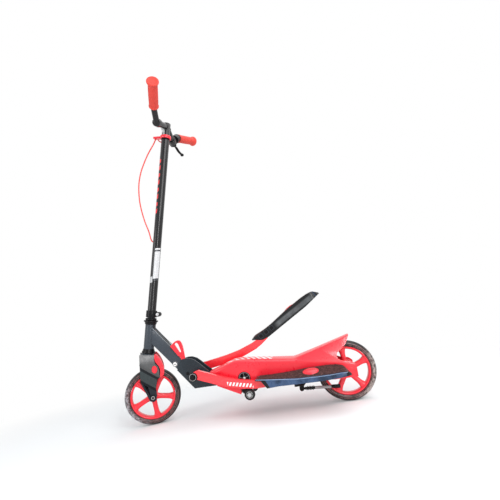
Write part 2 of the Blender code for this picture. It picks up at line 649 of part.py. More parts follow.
PEDAL_SHAPE = (
    (0.401, 0.061, 0.129, 0.1335, 0.1285, 0.0015, 0.000),
    (0.416, 0.060, 0.130, 0.1335, 0.1160, 0.0030, 0.004),
    (0.430, 0.060, 0.130, 0.1335, 0.1040, 0.0030, 0.006),
    (0.540, 0.060, 0.130, 0.1335, 0.1065, 0.0030, 0.008),
    (0.640, 0.060, 0.130, 0.1325, 0.1100, 0.0030, 0.006),
    (0.672, 0.064, 0.130, 0.1295, 0.1105, 0.0030, 0.003),
    (0.692, 0.078, 0.128, 0.1230, 0.1090, 0.0030, 0.000),
    (0.7035, 0.094, 0.120, 0.1145, 0.1065, 0.0020, 0.000),
    (0.7085, 0.102, 0.113, 0.1080, 0.1045, 0.0010, 0.000),
)


def pedal_set():
    """The left arm and pedal, in the lowered place they have in the photograph."""
    bar = mm((180, 171.5), (187, 176), (200, 179.5), (208, 175), (246, 160.5), (288, 145), (335, 131), (389, 121),
             (450, 118), (450, 99), (416, 95), (390, 94.3), (337, 102), (288, 114.5), (256, 125), (194, 149), (180, 146.5))
    arm = prism("pedal_arm_left", bar, -ARM_OUT, -ARM_IN)
    eye = rod("eye", (PIVOT_X, -ARM_OUT, PIVOT_Z), (PIVOT_X, -BLOCK_OUT - GAP - 0.0005, PIVOT_Z), 0.0128)
    tongue = prism("tongue", mm((438, 110), (438, 126.7), (632, 126.7), (632, 118), (470, 110)), -0.1190, -0.0700)
    join(arm, eye, tongue)
    cut(arm, rod("bore", (PIVOT_X, -0.09, PIVOT_Z), (PIVOT_X, 0, PIVOT_Z), PIVOT_R + RUN))
    pedal = loft("pedal_left", [pedal_ring(*row) for row in PEDAL_SHAPE])
    pocket = loft("pocket", [
        [Vector((back(x), -y, height)) for y, height in ((near, z), (near, 0.0850), (far, 0.0850), (far, z))]
        for x, near, far, z in ((0.4365, 0.0660, 0.1245, 0.1270), (0.6500, 0.0660, 0.1245, 0.1270))])
    notch = prism("notch", mm((390, 85), (380, 124.5), (392, 124.5), (452, 121), (452, 85)), -ARM_OUT - 0.003, -0.0500)
    cut(pedal, pocket, notch)
    top = [(x, near + 0.004, far - 0.005, z + GAP + 0.0016, z + GAP, 0.0008)
           for x, near, far, z, _, _ in ((0.407, 0.060, 0.130, 0.1335, 0, 0), (0.430, 0.060, 0.130, 0.1335, 0, 0),
                                         (0.540, 0.060, 0.130, 0.1335, 0, 0), (0.640, 0.060, 0.130, 0.1325, 0, 0),
                                         (0.672, 0.067, 0.130, 0.1300, 0, 0), (0.689, 0.082, 0.124, 0.1246, 0, 0))]
    tread = loft("tread_left", [pedal_ring(*row) for row in top])
    badge = []
    room = []
    for radius, store in ((0.0, badge), (GAP, room)):
        rings = [[Vector((back(0.578) + (0.0200 + radius) * math.cos(t), -0.099 + (0.0125 + radius) * math.sin(t), z))
                  for t in (math.tau * step / 28 for step in range(28))]
                 for z in ((0.1000, 0.1500) if radius else (0.13395, 0.13620))]
        store.extend(rings)
    badge = loft("tread_badge_left", badge)
    cut(tread, loft("room", room))
    return [finish(arm, RED_PAINT), finish(pedal, look("pedal_plastic", (0.03, 0.04, 0.06), 0.4)),
            finish(tread, look("tread_rubber", (0.045, 0.035, 0.033), 0.85)), finish(badge, RED_PAINT)]


def mirrored(obj):
    """The same piece on the right side, lifted by the swing between the two arms."""
    mesh = obj.data.copy()
    name = obj.name.replace("_left", "_right")
    pivot = Vector((PIVOT_X, 0, PIVOT_Z))
    turn = Matrix.Translation(pivot) @ Matrix.Rotation(-ARM_SWING, 4, "Y") @ Matrix.Translation(-pivot)
    mesh.transform(turn @ Matrix.Diagonal((1, -1, 1, 1)))
    mesh.flip_normals()
    mesh.name = name
    copy = bpy.data.objects.new(name, mesh)
    bpy.context.scene.collection.objects.link(copy)
    return copy


# Body


def section(x, wide, flat, top, crease, low, crown=0.0025):
    half = [(wide, low), (wide, crease), (flat, top), (flat * 0.5, top + crown * 0.8)]
    x = back(x)
    return ([Vector((x, -y, z)) for y, z in half] + [Vector((x, 0, top + crown))]
            + [Vector((x, y, z)) for y, z in reversed(half)])


BODY_SHAPE = (
    (0.229, 0.0325, 0.0265, 0.1600, 0.1545),
    (0.246, 0.0375, 0.0300, 0.1645, 0.1590),
    (0.272, 0.0430, 0.0345, 0.1725, 0.1665),
    (0.300, 0.0450, 0.0365, 0.1815, 0.1755),
    (0.322, 0.0450, 0.0365, 0.1870, 0.1810),
    (0.342, 0.0450, 0.0365, 0.1872, 0.1817),
    (0.380, 0.0450, 0.0365, 0.1840, 0.1785),
    (0.455, 0.0450, 0.0360, 0.1747, 0.1692),
    (0.529, 0.0450, 0.0345, 0.1668, 0.1608),
    (0.545, 0.0450, 0.0330, 0.1700, 0.1590),
    (0.620, 0.0450, 0.0290, FENDER_TOP - 0.0186, 0.1480),
    (0.690, 0.0450, 0.0250, FENDER_TOP, 0.1350),
    (0.732, 0.0450, 0.0225, FENDER_TOP + 0.0114, 0.1250),
)


def body_set():
    outer = loft("body_cover", [section(*row, 0.050) for row in BODY_SHAPE])
    inner = []
    for row in BODY_SHAPE:
        x, wide, flat, top, crease = row
        inner.append(section(x, wide - WALL, flat - 0.7 * WALL, top - WALL, crease - 0.6 * WALL, 0.020))
    inner[0] = [point + Vector((-0.01, 0, -0.0026)) for point in inner[0]]
    inner[-1] = [point + Vector((0.01, 0, 0.0022)) for point in inner[-1]]
    cut(outer, loft("room", inner))
    axle = [(x, z) for x, z in arc(REAR, AXLE_Z, FAIRING_R, -128, 66, 22)]
    trim = mm((222, 260), (222, 160), (236, 154), (250, 121.3), (334.7, 100.3), (336, 93), (600, 90), (655, 84))
    trim += axle + mm((692, 140), (678, 147.5), (674, 157), (678, 168), (707, 187.5), (722, 211), (729, 224), (733, 260))
    keep(outer, prism("trim", trim, -0.06, 0.06))
    cut(outer, rod("dial", (DIAL_X, -0.06, DIAL_Z), (DIAL_X, 0.06, DIAL_Z), DIAL_R + 0.0015, 24))
    belly = mm((251.5, 120.2), (254, 113.5), (332, 76), (334, 78), (334.4, 99.7))
    cover = prism("belly_cover", belly, -BODY_HALF, BODY_HALF)
    scoop = mm((250, 140), (250, 118), (262, 113.2), (329.5, 80.8), (331, 83), (331, 140))
    cut(cover, prism("room", scoop, -BODY_HALF + WALL, BODY_HALF - WALL))
    return [finish(outer, RED_PAINT), finish(cover, RED_PAINT)]


def drive_set():
    pieces = []
    for side, hand in ((-1, "left"), (1, "right")):
        near = side * 0.0365
        far = side * 0.0405
        pulley = prism("dial_pulley_" + hand, disc(DIAL_X, DIAL_Z, DIAL_R, 24), near, far)
        windows = []
        for index in range(6):
            turn = math.radians(60 * index + 20)
            x = DIAL_X + 0.0125 * math.cos(turn)
            z = DIAL_Z + 0.0125 * math.sin(turn)
            windows.append(rod("window", (x, -0.06, z), (x, 0.06, z), 0.0042, 12))
        cut(pulley, *windows)
        join(pulley, rod("boss", (DIAL_X, side * 0.0290, DIAL_Z), (DIAL_X, side * 0.0420, DIAL_Z), 0.0070, SMALL))
        cut(pulley, rod("bore", (DIAL_X, -0.06, DIAL_Z), (DIAL_X, 0.06, DIAL_Z), 0.0040 + GAP, SMALL))
        pieces.append(finish(pulley, DARK))
    for name, x, z in (("drive_shaft", DIAL_X, DIAL_Z), ("rear_sprocket", REAR, AXLE_Z)):
        wheel_points = []
        for index in range(32):
            turn = math.tau * index / 32
            radius = SPROCKET_R + (0.0012 if index % 2 else -0.0008)
            wheel_points.append((x + radius * math.cos(turn), z + radius * math.sin(turn)))
        sprocket = prism(name, wheel_points, 0.0180, 0.0205)
        join(sprocket, rod("boss", (x, 0.0146, z), (x, 0.0225, z), 0.0090, 16))
        if name == "drive_shaft":
            join(sprocket, rod("shaft", (x, -0.0435, z), (x, 0.0435, z), 0.0040, SMALL))
        else:
            cut(sprocket, rod("bore", (x, 0, z), (x, 0.05, z), AXLE_R + RUN))
        pieces.append(finish(sprocket, METAL))
    # The chain as one closed belt of links round both sprockets
    tilt = math.degrees(math.atan2(AXLE_Z - DIAL_Z, REAR - DIAL_X))
    belt = []
    for grow in (0.0017, 0.0052):
        loop = arc(REAR, AXLE_Z, SPROCKET_R + grow, tilt - 90, tilt + 90, 16)
        loop += arc(DIAL_X, DIAL_Z, SPROCKET_R + grow, tilt + 90, tilt + 270, 16)
        belt.append(loop)
    chain = prism("drive_chain", belt[1], 0.0172, 0.0218)
    cut(chain, prism("room", belt[0], 0.010, 0.030))
    pieces.append(finish(chain, METAL))
    # Rollers
    for side, hand in ((-1, "left"), (1, "right")):
        profile = [(0.0035 + RUN, 0), (0.0115, 0), (0.0155, 0.0005), (ROLLER_R, 0.0025),
                   (ROLLER_R, 0.0125), (0.0155, 0.0145), (0.0115, 0.0150), (0.0035 + RUN, 0.0150)]
        roller = lathe("roller_" + hand, profile, Vector((ROLLER_X, side * 0.0480, ROLLER_Z)), ACROSS * side, 24)
        pieces.append(finish(roller, RUBBER))
    axle = rod("roller_axle", (ROLLER_X, -0.0645, ROLLER_Z), (ROLLER_X, 0.0645, ROLLER_Z), 0.0035, SMALL)
    for side in (-1, 1):
        join(axle, rod("head", (ROLLER_X, side * 0.0633, ROLLER_Z), (ROLLER_X, side * 0.0665, ROLLER_Z), 0.0068, SMALL, 0.0006))
    pieces.append(finish(axle, METAL))
    ear = mm((336.6, 107), (352, 107), (356, 92), (372, 84), (373, 67), (356, 65), (336.6, 82))
    bracket = prism("roller_bracket", ear, -0.0416, -0.0370)
    other = prism("ear", ear, 0.0370, 0.0416)
    bar = prism("bar", mm((337.5, 97), (350, 97), (350, 105.6), (337.5, 105.6)), -0.0390, 0.0390)
    post = mm((339, 104), (349, 104), (349, 110.1), (339, 110.1))
    join(bracket, bar, other, prism("post", post, -0.0284, -0.0236), prism("post", post, 0.0236, 0.0284))
    cut(bracket, rod("bore", (ROLLER_X, -0.06, ROLLER_Z), (ROLLER_X, 0.06, ROLLER_Z), 0.0035 + GAP, SMALL))
    pieces.append(finish(bracket, DARK))
    return pieces


# Kickstand


STAND = Vector((back(0.5400), -0.0400, 0.0680))
STAND_ALONG = Vector((0.998, 0, -0.060)).normalized()
STAND_AXIS = Vector((0.052, -0.4975, 0.866))
STAND_AXIS = (STAND_AXIS - STAND_ALONG * STAND_AXIS.dot(STAND_ALONG)).normalized()
STAND_LONG = 0.128


def stand_set():
    bracket = prism("kickstand_bracket", mm((517, 76), (517, 101), (557, 101), (557, 84), (549, 76)), -0.0415, -0.0290)
    join(bracket, rod("boss", STAND + STAND_AXIS * 0.0042, STAND + STAND_AXIS * 0.0170, 0.0078, 16))
    join(bracket, rod("bolt", STAND - STAND_AXIS * 0.0060, STAND + STAND_AXIS * 0.0100, 0.0028, SMALL))
    join(bracket, rod("head", STAND - STAND_AXIS * 0.0075, STAND - STAND_AXIS * 0.0042, 0.0056, SMALL, 0.0006))
    leg = rod("kickstand_leg", STAND - STAND_AXIS * 0.0038, STAND + STAND_AXIS * 0.0038, 0.0078, 16)
    join(leg, rod("neck", STAND + STAND_ALONG * 0.005, STAND + STAND_ALONG * 0.014, 0.0034, SMALL))
    join(leg, rod("rod", STAND + STAND_ALONG * 0.0098, STAND + STAND_ALONG * (STAND_LONG - 0.004), 0.0046, SMALL))
    join(leg, rod("foot", STAND + STAND_ALONG * (STAND_LONG - 0.026), STAND + STAND_ALONG * STAND_LONG, 0.0062, SMALL, 0.001))
    cut(leg, rod("bore", STAND - STAND_AXIS * 0.02, STAND + STAND_AXIS * 0.02, 0.0028 + RUN, SMALL))
    side = STAND_AXIS
    other = STAND_ALONG.cross(side)
    coil = []
    turns = 5
    for step in range(turns * 10 + 1):
        turn = math.tau * step / 10
        along = 0.0150 + 0.0260 * step / (turns * 10)
        coil.append(STAND + STAND_ALONG * along + 0.0063 * (math.cos(turn) * side + math.sin(turn) * other))
    spring = sweep("kickstand_spring", coil, 0.0011, 5)
    return [finish(bracket, DARK), finish(leg, DARK), finish(spring, METAL)]


def hang(pieces, name, rest, turned=None, parent=None):
    """Hangs the pieces on an empty on their joint's axis, and then turns the empty to where it stands at rest."""
    pivot = bpy.data.objects.new(name, None)
    bpy.context.scene.collection.objects.link(pivot)
    if parent:
        pivot.parent = parent
        pivot.matrix_parent_inverse = rest_of[parent.name].inverted()
    pivot.matrix_basis = rest @ turned if turned else rest
    rest_of[name] = rest.copy()
    for piece in pieces:
        piece.parent = pivot
        piece.matrix_parent_inverse = rest.inverted()
    return pivot


rest_of = {}


def at(x, y, z, direction=None):
    place = Matrix.Translation((x, y, z))
    return place @ frame_along(direction) if direction else place


def main():
    clear_scene()
    front_wheel = wheel("front", 0.0, -12.5)
    rear_wheel = wheel("rear", REAR, 22.0)
    front_axle = axle_set("front", 0.0, COVER_OUT, 0.0082)
    rear_axle = axle_set("rear", REAR, PLATE_OUT, 0.0085)
    fork = fork_set()
    head = front_frame_set()
    bars = handlebar_set()
    brake = brake_set()
    frame = frame_set()
    left = pedal_set()
    right = [mirrored(piece) for piece in left]
    body = body_set()
    drive = drive_set()
    stand = stand_set()
    root = hang(frame + body + rear_axle, "scooter", Matrix.Identity(4))
    fold = hang(head, "fold_axis", at(PIVOT_X, 0, PIVOT_Z), None, root)
    steer_rest = Matrix.Translation((STEER_X, 0, STEER_Z)) @ Matrix.Rotation(RAKE, 4, "Y")
    steer = hang(fork + front_axle, "steer_axis", steer_rest, Matrix.Rotation(TURN, 4, "Z"), fold)
    hang(front_wheel, "front_wheel_axis", at(0, 0, AXLE_Z), None, steer)
    hang(bars + brake, "stem_axis", steer_rest, None, fold)
    hang(rear_wheel, "rear_wheel_axis", at(REAR, 0, AXLE_Z), None, root)
    hang(left + right, "pedal_axis", at(PIVOT_X, 0, PIVOT_Z), None, root)
    hang(drive, "drive_axis", at(DIAL_X, 0, DIAL_Z), None, root)
    hang(stand, "kickstand_axis", at(*STAND), None, root)
    root.location = (SHIFT, 0, WHEEL_R - AXLE_Z)


main()
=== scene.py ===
"""Dresses the stepper scooter: finer pieces, procedural finishes, a pale studio and the photograph's camera."""

import json
import logging
import math
from dataclasses import dataclass, field
from enum import Enum
from typing import Callable, Iterable, Optional, Sequence, Union

import bmesh
import bpy
from mathutils import Matrix, Vector

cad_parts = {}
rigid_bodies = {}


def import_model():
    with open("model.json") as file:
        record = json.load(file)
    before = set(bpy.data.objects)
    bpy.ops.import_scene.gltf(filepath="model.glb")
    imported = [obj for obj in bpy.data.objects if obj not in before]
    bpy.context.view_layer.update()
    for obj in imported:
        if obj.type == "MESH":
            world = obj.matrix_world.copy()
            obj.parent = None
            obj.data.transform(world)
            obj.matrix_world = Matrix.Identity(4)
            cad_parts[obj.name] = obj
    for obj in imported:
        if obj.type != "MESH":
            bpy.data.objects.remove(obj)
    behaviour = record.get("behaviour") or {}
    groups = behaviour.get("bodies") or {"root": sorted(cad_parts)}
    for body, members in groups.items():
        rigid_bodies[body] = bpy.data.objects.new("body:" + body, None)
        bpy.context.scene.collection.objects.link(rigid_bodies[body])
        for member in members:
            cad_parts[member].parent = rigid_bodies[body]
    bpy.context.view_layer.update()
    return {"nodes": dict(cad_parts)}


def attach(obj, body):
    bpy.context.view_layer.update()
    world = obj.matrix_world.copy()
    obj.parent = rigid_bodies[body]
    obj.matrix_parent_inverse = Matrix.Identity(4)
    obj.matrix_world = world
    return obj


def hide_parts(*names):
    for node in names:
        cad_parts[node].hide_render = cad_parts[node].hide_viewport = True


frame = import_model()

logging.basicConfig(level=logging.INFO, format="%(message)s")
log = logging.getLogger("scooter")

Colour = Spot = tuple[float, float, float]
Points = Sequence[tuple[float, float]]
Value = Union["Signal", float]

# Layout, in metres from the front axle with z = 0 on the ground, as the solids are laid out
SHIFT = Vector((-0.3507, 0.0, 0.0))
WHEEL_R = 0.100
WHEELBASE = 0.7013
STEER = Vector((0.0123, 0.0, 0.300))
RAKE = math.radians(11.9)
TURN = math.radians(19.7)
PIVOT = Vector((0.1804, 0.0, 0.1590))
ARM_SWING = math.radians(29.6)
DIAL = Vector((0.3510, 0.0, 0.1275))
BAR_BEND = Vector((0.1830, 0.1279, 1.1202))
STEER_DIR = Vector((math.sin(RAKE), 0.0, math.cos(RAKE)))
ACROSS = Vector((0.0, 1.0, 0.0))
STEER_REST = Matrix.Translation(STEER) @ Matrix.Rotation(RAKE, 4, "Y")
FORK_TURN = STEER_REST @ Matrix.Rotation(TURN, 4, "Z") @ STEER_REST.inverted()
PIVOT_PLACE = Matrix.Translation(PIVOT)
RAISED = PIVOT_PLACE @ Matrix.Rotation(-ARM_SWING, 4, "Y") @ PIVOT_PLACE.inverted() @ Matrix.Diagonal((1, -1, 1, 1))

# The angle in degrees beyond which an edge is sharp, and the gaps in metres under which two points are one, in a
# stored mesh and where a turned section meets itself
CREASE = 38.0
WELD = 2e-6
SEAM = 1e-7


class Side(Enum):
    """The two sides of the scooter, with the sign of their y."""

    LEFT = -1
    RIGHT = 1

    @property
    def word(self) -> str:
        """The side's name as the nodes spell it."""
        return self.name.lower()

    @property
    def out(self) -> Vector:
        """The way to that side."""
        return ACROSS * self.value


def mm(*points: tuple[float, float]) -> list[tuple[float, float]]:
    """Points given in millimetres, as metres."""
    return [(a / 1000, b / 1000) for a, b in points]


def on_axis(along: float, across: float = 0.0, side: float = 0.0) -> Vector:
    """The point that far along the steering axis, behind it and to the side.

    Args:
        along: metres up the axis from the steering point.
        across: metres behind the axis.
        side: the point's y.

    Returns:
        The point.
    """
    return Vector((
        STEER.x + along * math.sin(RAKE) + across * math.cos(RAKE),
        side,
        STEER.z + along * math.cos(RAKE) - across * math.sin(RAKE),
    ))


def mirrored(half: Points) -> list[tuple[float, float]]:
    """A turned section made whole: the half with its heights turned over, and then the half backwards."""
    return [(r, -h) for r, h in half] + [(r, h) for r, h in reversed(half) if h]


def smoothed(outline: Points, per_span: int) -> list[tuple[float, float]]:
    """Flat points on a smooth curve through the given ones."""
    return [(p.x, p.y) for p in curve_through([(a, b, 0) for a, b in outline], per_span)]


def fixed(x: float, y: float, z: float) -> Vector:
    """A dataclass field that starts as that vector."""
    return field(default_factory=lambda: Vector((x, y, z)))


def arc(x: float, z: float, radius: float, first: float, last: float, count: int) -> list[tuple[float, float]]:
    """Points on an arc between two angles in degrees."""
    turns = [math.radians(first + (last - first) * step / count) for step in range(count + 1)]
    return [(x + radius * math.cos(t), z + radius * math.sin(t)) for t in turns]


def frame_along(direction: Vector) -> Matrix:
    """A turn that takes +Z to the direction."""
    return direction.normalized().to_track_quat("Z", "Y").to_matrix().to_4x4()


def curve_through(points: Iterable[Sequence[float]], per_span: int) -> list[Vector]:
    """Points on a smooth curve that passes through every given point.

    Args:
        points: the given points.
        per_span: steps between two of them.

    Returns:
        The curve's points, with the last given one at its end.
    """
    points = [Vector(point) for point in points]
    ends = [2 * points[0] - points[1], *points, 2 * points[-1] - points[-2]]
    path = []
    for index in range(1, len(ends) - 2):
        a, b, c, d = ends[index - 1:index + 3]
        for step in range(per_span):
            t = step / per_span
            path.append(0.5 * (2 * b + (c - a) * t + (2 * a - 5 * b + 4 * c - d) * t ** 2
                               + (3 * b - a - 3 * c + d) * t ** 3))
    path.append(points[-1])
    return path


def scaled(colour: Colour, factor: float) -> Colour:
    """The colour made lighter or darker."""
    return tuple(min(1.0, part * factor) for part in colour)


class Signal:
    """One output of a material's node tree, which takes part in arithmetic."""

    def __init__(self, graph: "Graph", socket: bpy.types.NodeSocket) -> None:
        """Keeps the socket and the graph that it belongs to."""
        self.graph = graph
        self.socket = socket

    def node(self, kind: str, port: Union[str, int] = 0, out: Union[str, int] = 0, **extra: object) -> "Signal":
        """Feeds this signal into a new node.

        Args:
            kind: the node's type, without its ShaderNode prefix.
            port: the input that this signal goes into.
            out: the output that comes back.
            extra: the node's own settings, and under `inputs` a dict of other inputs.

        Returns:
            The new node's output.
        """
        inputs = dict(extra.pop("inputs", {}))
        inputs[port] = self
        return self.graph.node(kind, inputs, out, **extra)

    def _math(self, operation: str, *others: Value) -> "Signal":
        """A Math node on this value and the others."""
        return self.graph.node("Math", dict(enumerate((self, *others))), operation=operation)

    def __add__(self, other: Value) -> "Signal":
        """The sum."""
        return self._math("ADD", other)

    def __sub__(self, other: Value) -> "Signal":
        """The difference."""
        return self._math("SUBTRACT", other)

    def __rsub__(self, other: float) -> "Signal":
        """The difference from a number."""
        return self.graph.node("Math", {0: other, 1: self}, operation="SUBTRACT")

    def __mul__(self, other: Value) -> "Signal":
        """The product."""
        return self._math("MULTIPLY", other)

    def __gt__(self, other: Value) -> "Signal":
        """1 where this is greater."""
        return self._math("GREATER_THAN", other)

    def __lt__(self, other: Value) -> "Signal":
        """1 where this is less."""
        return self._math("LESS_THAN", other)

    __radd__ = __add__
    __rmul__ = __mul__

    def sine(self) -> "Signal":
        """The sine of the value, in radians."""
        return self._math("SINE")

    def bars(self, pitch: float, share: float) -> "Signal":
        """1 on a share of every pitch, 0 between."""
        return (self * (1 / pitch))._math("FRACT") < share

    def along(self, direction: Sequence[float], offset: float = 0.0) -> "Signal":
        """How far a point signal lies along a direction."""
        run = self.node("VectorMath", 0, "Value", inputs={1: tuple(direction)}, operation="DOT_PRODUCT")
        return run + offset

    def fade(self, low: float, high: float, start: float = 0.0, end: float = 1.0) -> "Signal":
        """Maps low..high to start..end, smoothly and without leaving that range."""
        settings = {1: low, 2: high, 3: start, 4: end}
        return self.node("MapRange", 0, inputs=settings, interpolation_type="SMOOTHSTEP")

    def between(self, low: float, high: float) -> "Signal":
        """1 where this lies between the two."""
        return (self > low) * (self < high)

    def plateau(self, rise: tuple[float, float], fall: tuple[float, float]) -> "Signal":
        """1 between a soft rise and a soft fall, 0 outside them."""
        return self.fade(*rise) * (1 - self.fade(*fall))


class Graph:
    """A material's node tree, with the Principled shader at its end."""

    def __init__(self, name: str) -> None:
        """Starts a new material.

        Args:
            name: its name.
        """
        self.material = bpy.data.materials.new(name)
        self.material.use_nodes = True
        self.tree = self.material.node_tree
        self.shader = self.tree.nodes["Principled BSDF"]

    @classmethod
    def of_world(cls, world: bpy.types.World) -> "Graph":
        """The world's own node tree, emptied.

        Args:
            world: the world.

        Returns:
            Its graph, which has no shader.
        """
        graph = cls.__new__(cls)
        world.use_nodes = True
        graph.tree = world.node_tree
        graph.tree.nodes.clear()
        return graph

    def node(self, kind: str, inputs: Optional[dict] = None, out: Union[str, int] = 0,
             **settings: object) -> Optional[Signal]:
        """Adds a node.

        Args:
            kind: the node's type, without its ShaderNode prefix.
            inputs: values or signals for its inputs, by name or number.
            out: the output that comes back.
            settings: the node's own settings, set before its inputs.

        Returns:
            That output, or nothing from a node that has none.
        """
        made = self.tree.nodes.new("ShaderNode" + kind)
        for key, value in settings.items():
            setattr(made, key, value)
        for key, value in (inputs or {}).items():
            self.feed(made.inputs[key], value)
        return Signal(self, made.outputs[out]) if made.outputs else None

    def feed(self, socket: bpy.types.NodeSocket, value: object) -> None:
        """Links a signal to a socket, or sets the socket's own value.

        Args:
            socket: the input.
            value: a signal, a number, a vector or a colour.
        """
        if isinstance(value, Signal):
            self.tree.links.new(value.socket, socket)
        elif isinstance(value, tuple) and len(value) == 3 and socket.type == "RGBA":
            socket.default_value = (*value, 1.0)
        else:
            socket.default_value = value

    def place(self) -> Signal:
        """The point on the surface, in metres."""
        return self.node("TexCoord", out="Object")

    def layout(self, place: Matrix) -> tuple[Signal, Signal, Signal]:
        """The surface point's x, y and z in the layout, before the matrix turned the piece.

        Args:
            place: the matrix that turned the piece.

        Returns:
            The three signals.
        """
        home = place.inverted() @ Matrix.Translation(-SHIFT)
        spot = self.place()
        return tuple(spot.along(row[:3], row[3]) for row in list(home)[:3])

    def noise(self, scale: float, detail: float = 3.0, rough: float = 0.5,
              stretch: Optional[Colour] = None) -> Signal:
        """Soft noise from 0 to 1.

        Args:
            scale: cells to the metre.
            detail: octaves over the first.
            rough: how strong each octave is against the one before.
            stretch: factors on x, y and z before the noise is read.

        Returns:
            The noise.
        """
        spot = self.place()
        if stretch:
            spot = spot.node("VectorMath", 0, inputs={1: stretch}, operation="MULTIPLY")
        return spot.node("TexNoise", "Vector", inputs={"Scale": scale, "Detail": detail, "Roughness": rough})

    def mix(self, factor: Value, low: Union[Signal, Colour], high: Union[Signal, Colour]) -> Signal:
        """A colour between two."""
        return self.node("Mix", {0: factor, 6: low, 7: high}, 2, data_type="RGBA")

    def tones(self, factor: Value, colour: Colour, low: float, high: float) -> Signal:
        """A colour that goes from one share of itself to another."""
        return self.mix(factor, scaled(colour, low), scaled(colour, high))

    def bump(self, height: Signal, distance: float) -> Signal:
        """A normal roughened by that height."""
        return self.node("Bump", {"Height": height, "Distance": distance, "Strength": 1.0}, "Normal")


@dataclass(frozen=True)
class Finish:
    """A moulded or painted surface: colour, gloss and a fine grain.

    Attributes:
        name: the material's name.
        slot: the record's material slot; not used.
        colour: linear base colour.
        rough: mean roughness.
        metal: metallic value.
        coat: weight of a clear coat.
        shine: how much the surface mirrors at a straight look, 0.5 for common plastic.
        drift: how far the colour wanders over the piece.
        grain: cells of the surface grain to the metre.
        depth: height of the grain in metres.
    """

    name: str
    slot: str
    colour: Colour
    rough: float = 0.4
    metal: float = 0.0
    coat: float = 0.0
    shine: float = 0.5
    drift: float = 0.08
    grain: float = 900.0
    depth: float = 0.00001

    def hue(self, graph: Graph) -> Signal:
        """The base colour over the surface."""
        patches = graph.noise(14.0, 3.0, 0.55).fade(0.3, 0.7)
        return graph.tones(patches, self.colour, 1 - self.drift, 1 + self.drift)

    def relief(self, graph: Graph) -> Signal:
        """The height of the surface, from 0 to 1."""
        return graph.noise(self.grain, 2.0, 0.5)

    def gloss(self, graph: Graph) -> Signal:
        """The roughness over the surface."""
        return graph.noise(60.0, 3.0, 0.6).fade(0.2, 0.8, self.rough * 0.85, min(1.0, self.rough * 1.18))

    def material(self) -> bpy.types.Material:
        """The finish as a material, made once.

        Returns:
            The material.
        """
        found = bpy.data.materials.get(self.name)
        if found:
            return found
        graph = Graph(self.name)
        values = {"Metallic": self.metal, "Coat Weight": self.coat, "Coat Roughness": 0.12,
                  "Specular IOR Level": self.shine, "Base Color": self.hue(graph), "Roughness": self.gloss(graph),
                  "Normal": graph.bump(self.relief(graph), self.depth)}
        for socket, value in values.items():
            graph.feed(graph.shader.inputs[socket], value)
        graph.material.diffuse_color = (*self.colour, 1.0)
        return graph.material


@dataclass(frozen=True)
class Speckled(Finish):
    """The fork covers' cast look, lighter at the top and darker on the lower steps, with a painted highlight along
    the top and painted shade under each step.
    """

    # The pale band along the very top of the cover is a painted highlight.
    crown: Colour = (0.30, 0.30, 0.30)
    top: Colour = (0.115, 0.118, 0.120)
    middle: Colour = (0.048, 0.060, 0.063)
    low: Colour = (0.017, 0.023, 0.030)
    # The colour of the painted shade on the slope under each step.
    shadow: Colour = (0.006, 0.007, 0.009)
    first_step: float = 0.1890
    second_step: float = 0.1417
    first_drop: float = 0.0116
    second_drop: float = 0.0108
    step_lean: float = 0.809

    def hue(self, graph: Graph) -> Signal:
        """Tones that change at the two steps, with a painted highlight along the top, painted shade on the slope
        under each step, and specks all over.

        Args:
            graph: the finish's node tree.

        Returns:
            The base colour.
        """
        x, _, height = graph.layout(FORK_TURN)
        lean = height + x * self.step_lean
        speck = graph.noise(420.0, 4.0, 0.75).fade(0.42, 0.62)
        blotch = graph.noise(55.0, 4.0, 0.7).fade(0.3, 0.7)
        # Painted highlight: a pale band along the top of the cover.
        upper = graph.mix(height.fade(0.218, 0.244), self.top, self.crown)
        upper = graph.mix(lean.fade(self.first_step, self.first_step + 0.022), scaled(self.top, 0.62), upper)
        upper = graph.mix(speck * 0.45, upper, scaled(self.top, 0.45))
        upper = graph.mix(blotch * 0.35, upper, scaled(self.top, 0.75))
        centre = graph.tones(speck * 0.6, self.middle, 0.75, 1.2)
        foot = graph.tones(speck * 0.5, self.low, 0.8, 1.25)
        tone = graph.mix(lean > self.first_step, centre, upper)
        tone = graph.mix(lean > self.second_step, foot, tone)
        # Painted shade on the slope under each step, where the step above keeps the light off.
        slopes = (lean.between(self.first_step - self.first_drop, self.first_step)
                  + lean.between(self.second_step - self.second_drop, self.second_step))
        return graph.mix(slopes * 0.85, tone, self.shadow)

    def relief(self, graph: Graph) -> Signal:
        """A coarse cast skin with a finer one over it."""
        return graph.noise(380.0, 4.0, 0.7) * 0.7 + graph.noise(1400.0, 2.0, 0.5) * 0.3


@dataclass(frozen=True)
class Marked(Finish):
    """Gloss paint with a row of plain pale slanted bars in one place.

    Attributes:
        place: how the piece was turned from the layout.
        start: the layout x where the row starts.
        end: the layout x where it ends.
        level: height of the row's lower edge at its start.
        fall: how much the row drops to the metre of x.
        tall: the row's height.
        across: the lowest and highest layout y of the bars.
        pitch: the bars' spacing.
        slant: how far a bar leans to the metre of height or width.
        bar: the bars' colour.
    """

    place: Matrix = field(default_factory=Matrix)
    start: float = 0.2951
    end: float = 0.3826
    level: float = 0.1166
    fall: float = 0.200
    tall: float = 0.0122
    across: tuple[float, float] = (-0.080, -0.0712)
    pitch: float = 0.0125
    slant: float = 0.55
    bar: Colour = (0.80, 0.78, 0.78)

    def hue(self, graph: Graph) -> Signal:
        """The paint, with the bars over it.

        Args:
            graph: the finish's node tree.

        Returns:
            The base colour.
        """
        x, y, z = graph.layout(self.place)
        rise = z + (x - self.start) * self.fall
        inside = x.between(self.start, self.end) * rise.between(self.level, self.level + self.tall)
        inside = inside * y.between(*self.across)
        row = (x + z * -self.slant + y * self.slant * 0.6).bars(self.pitch, 0.56)
        worn = graph.noise(260.0, 3.0, 0.6).fade(0.20, 0.32)
        return graph.mix(inside * row * worn, super().hue(graph), self.bar)


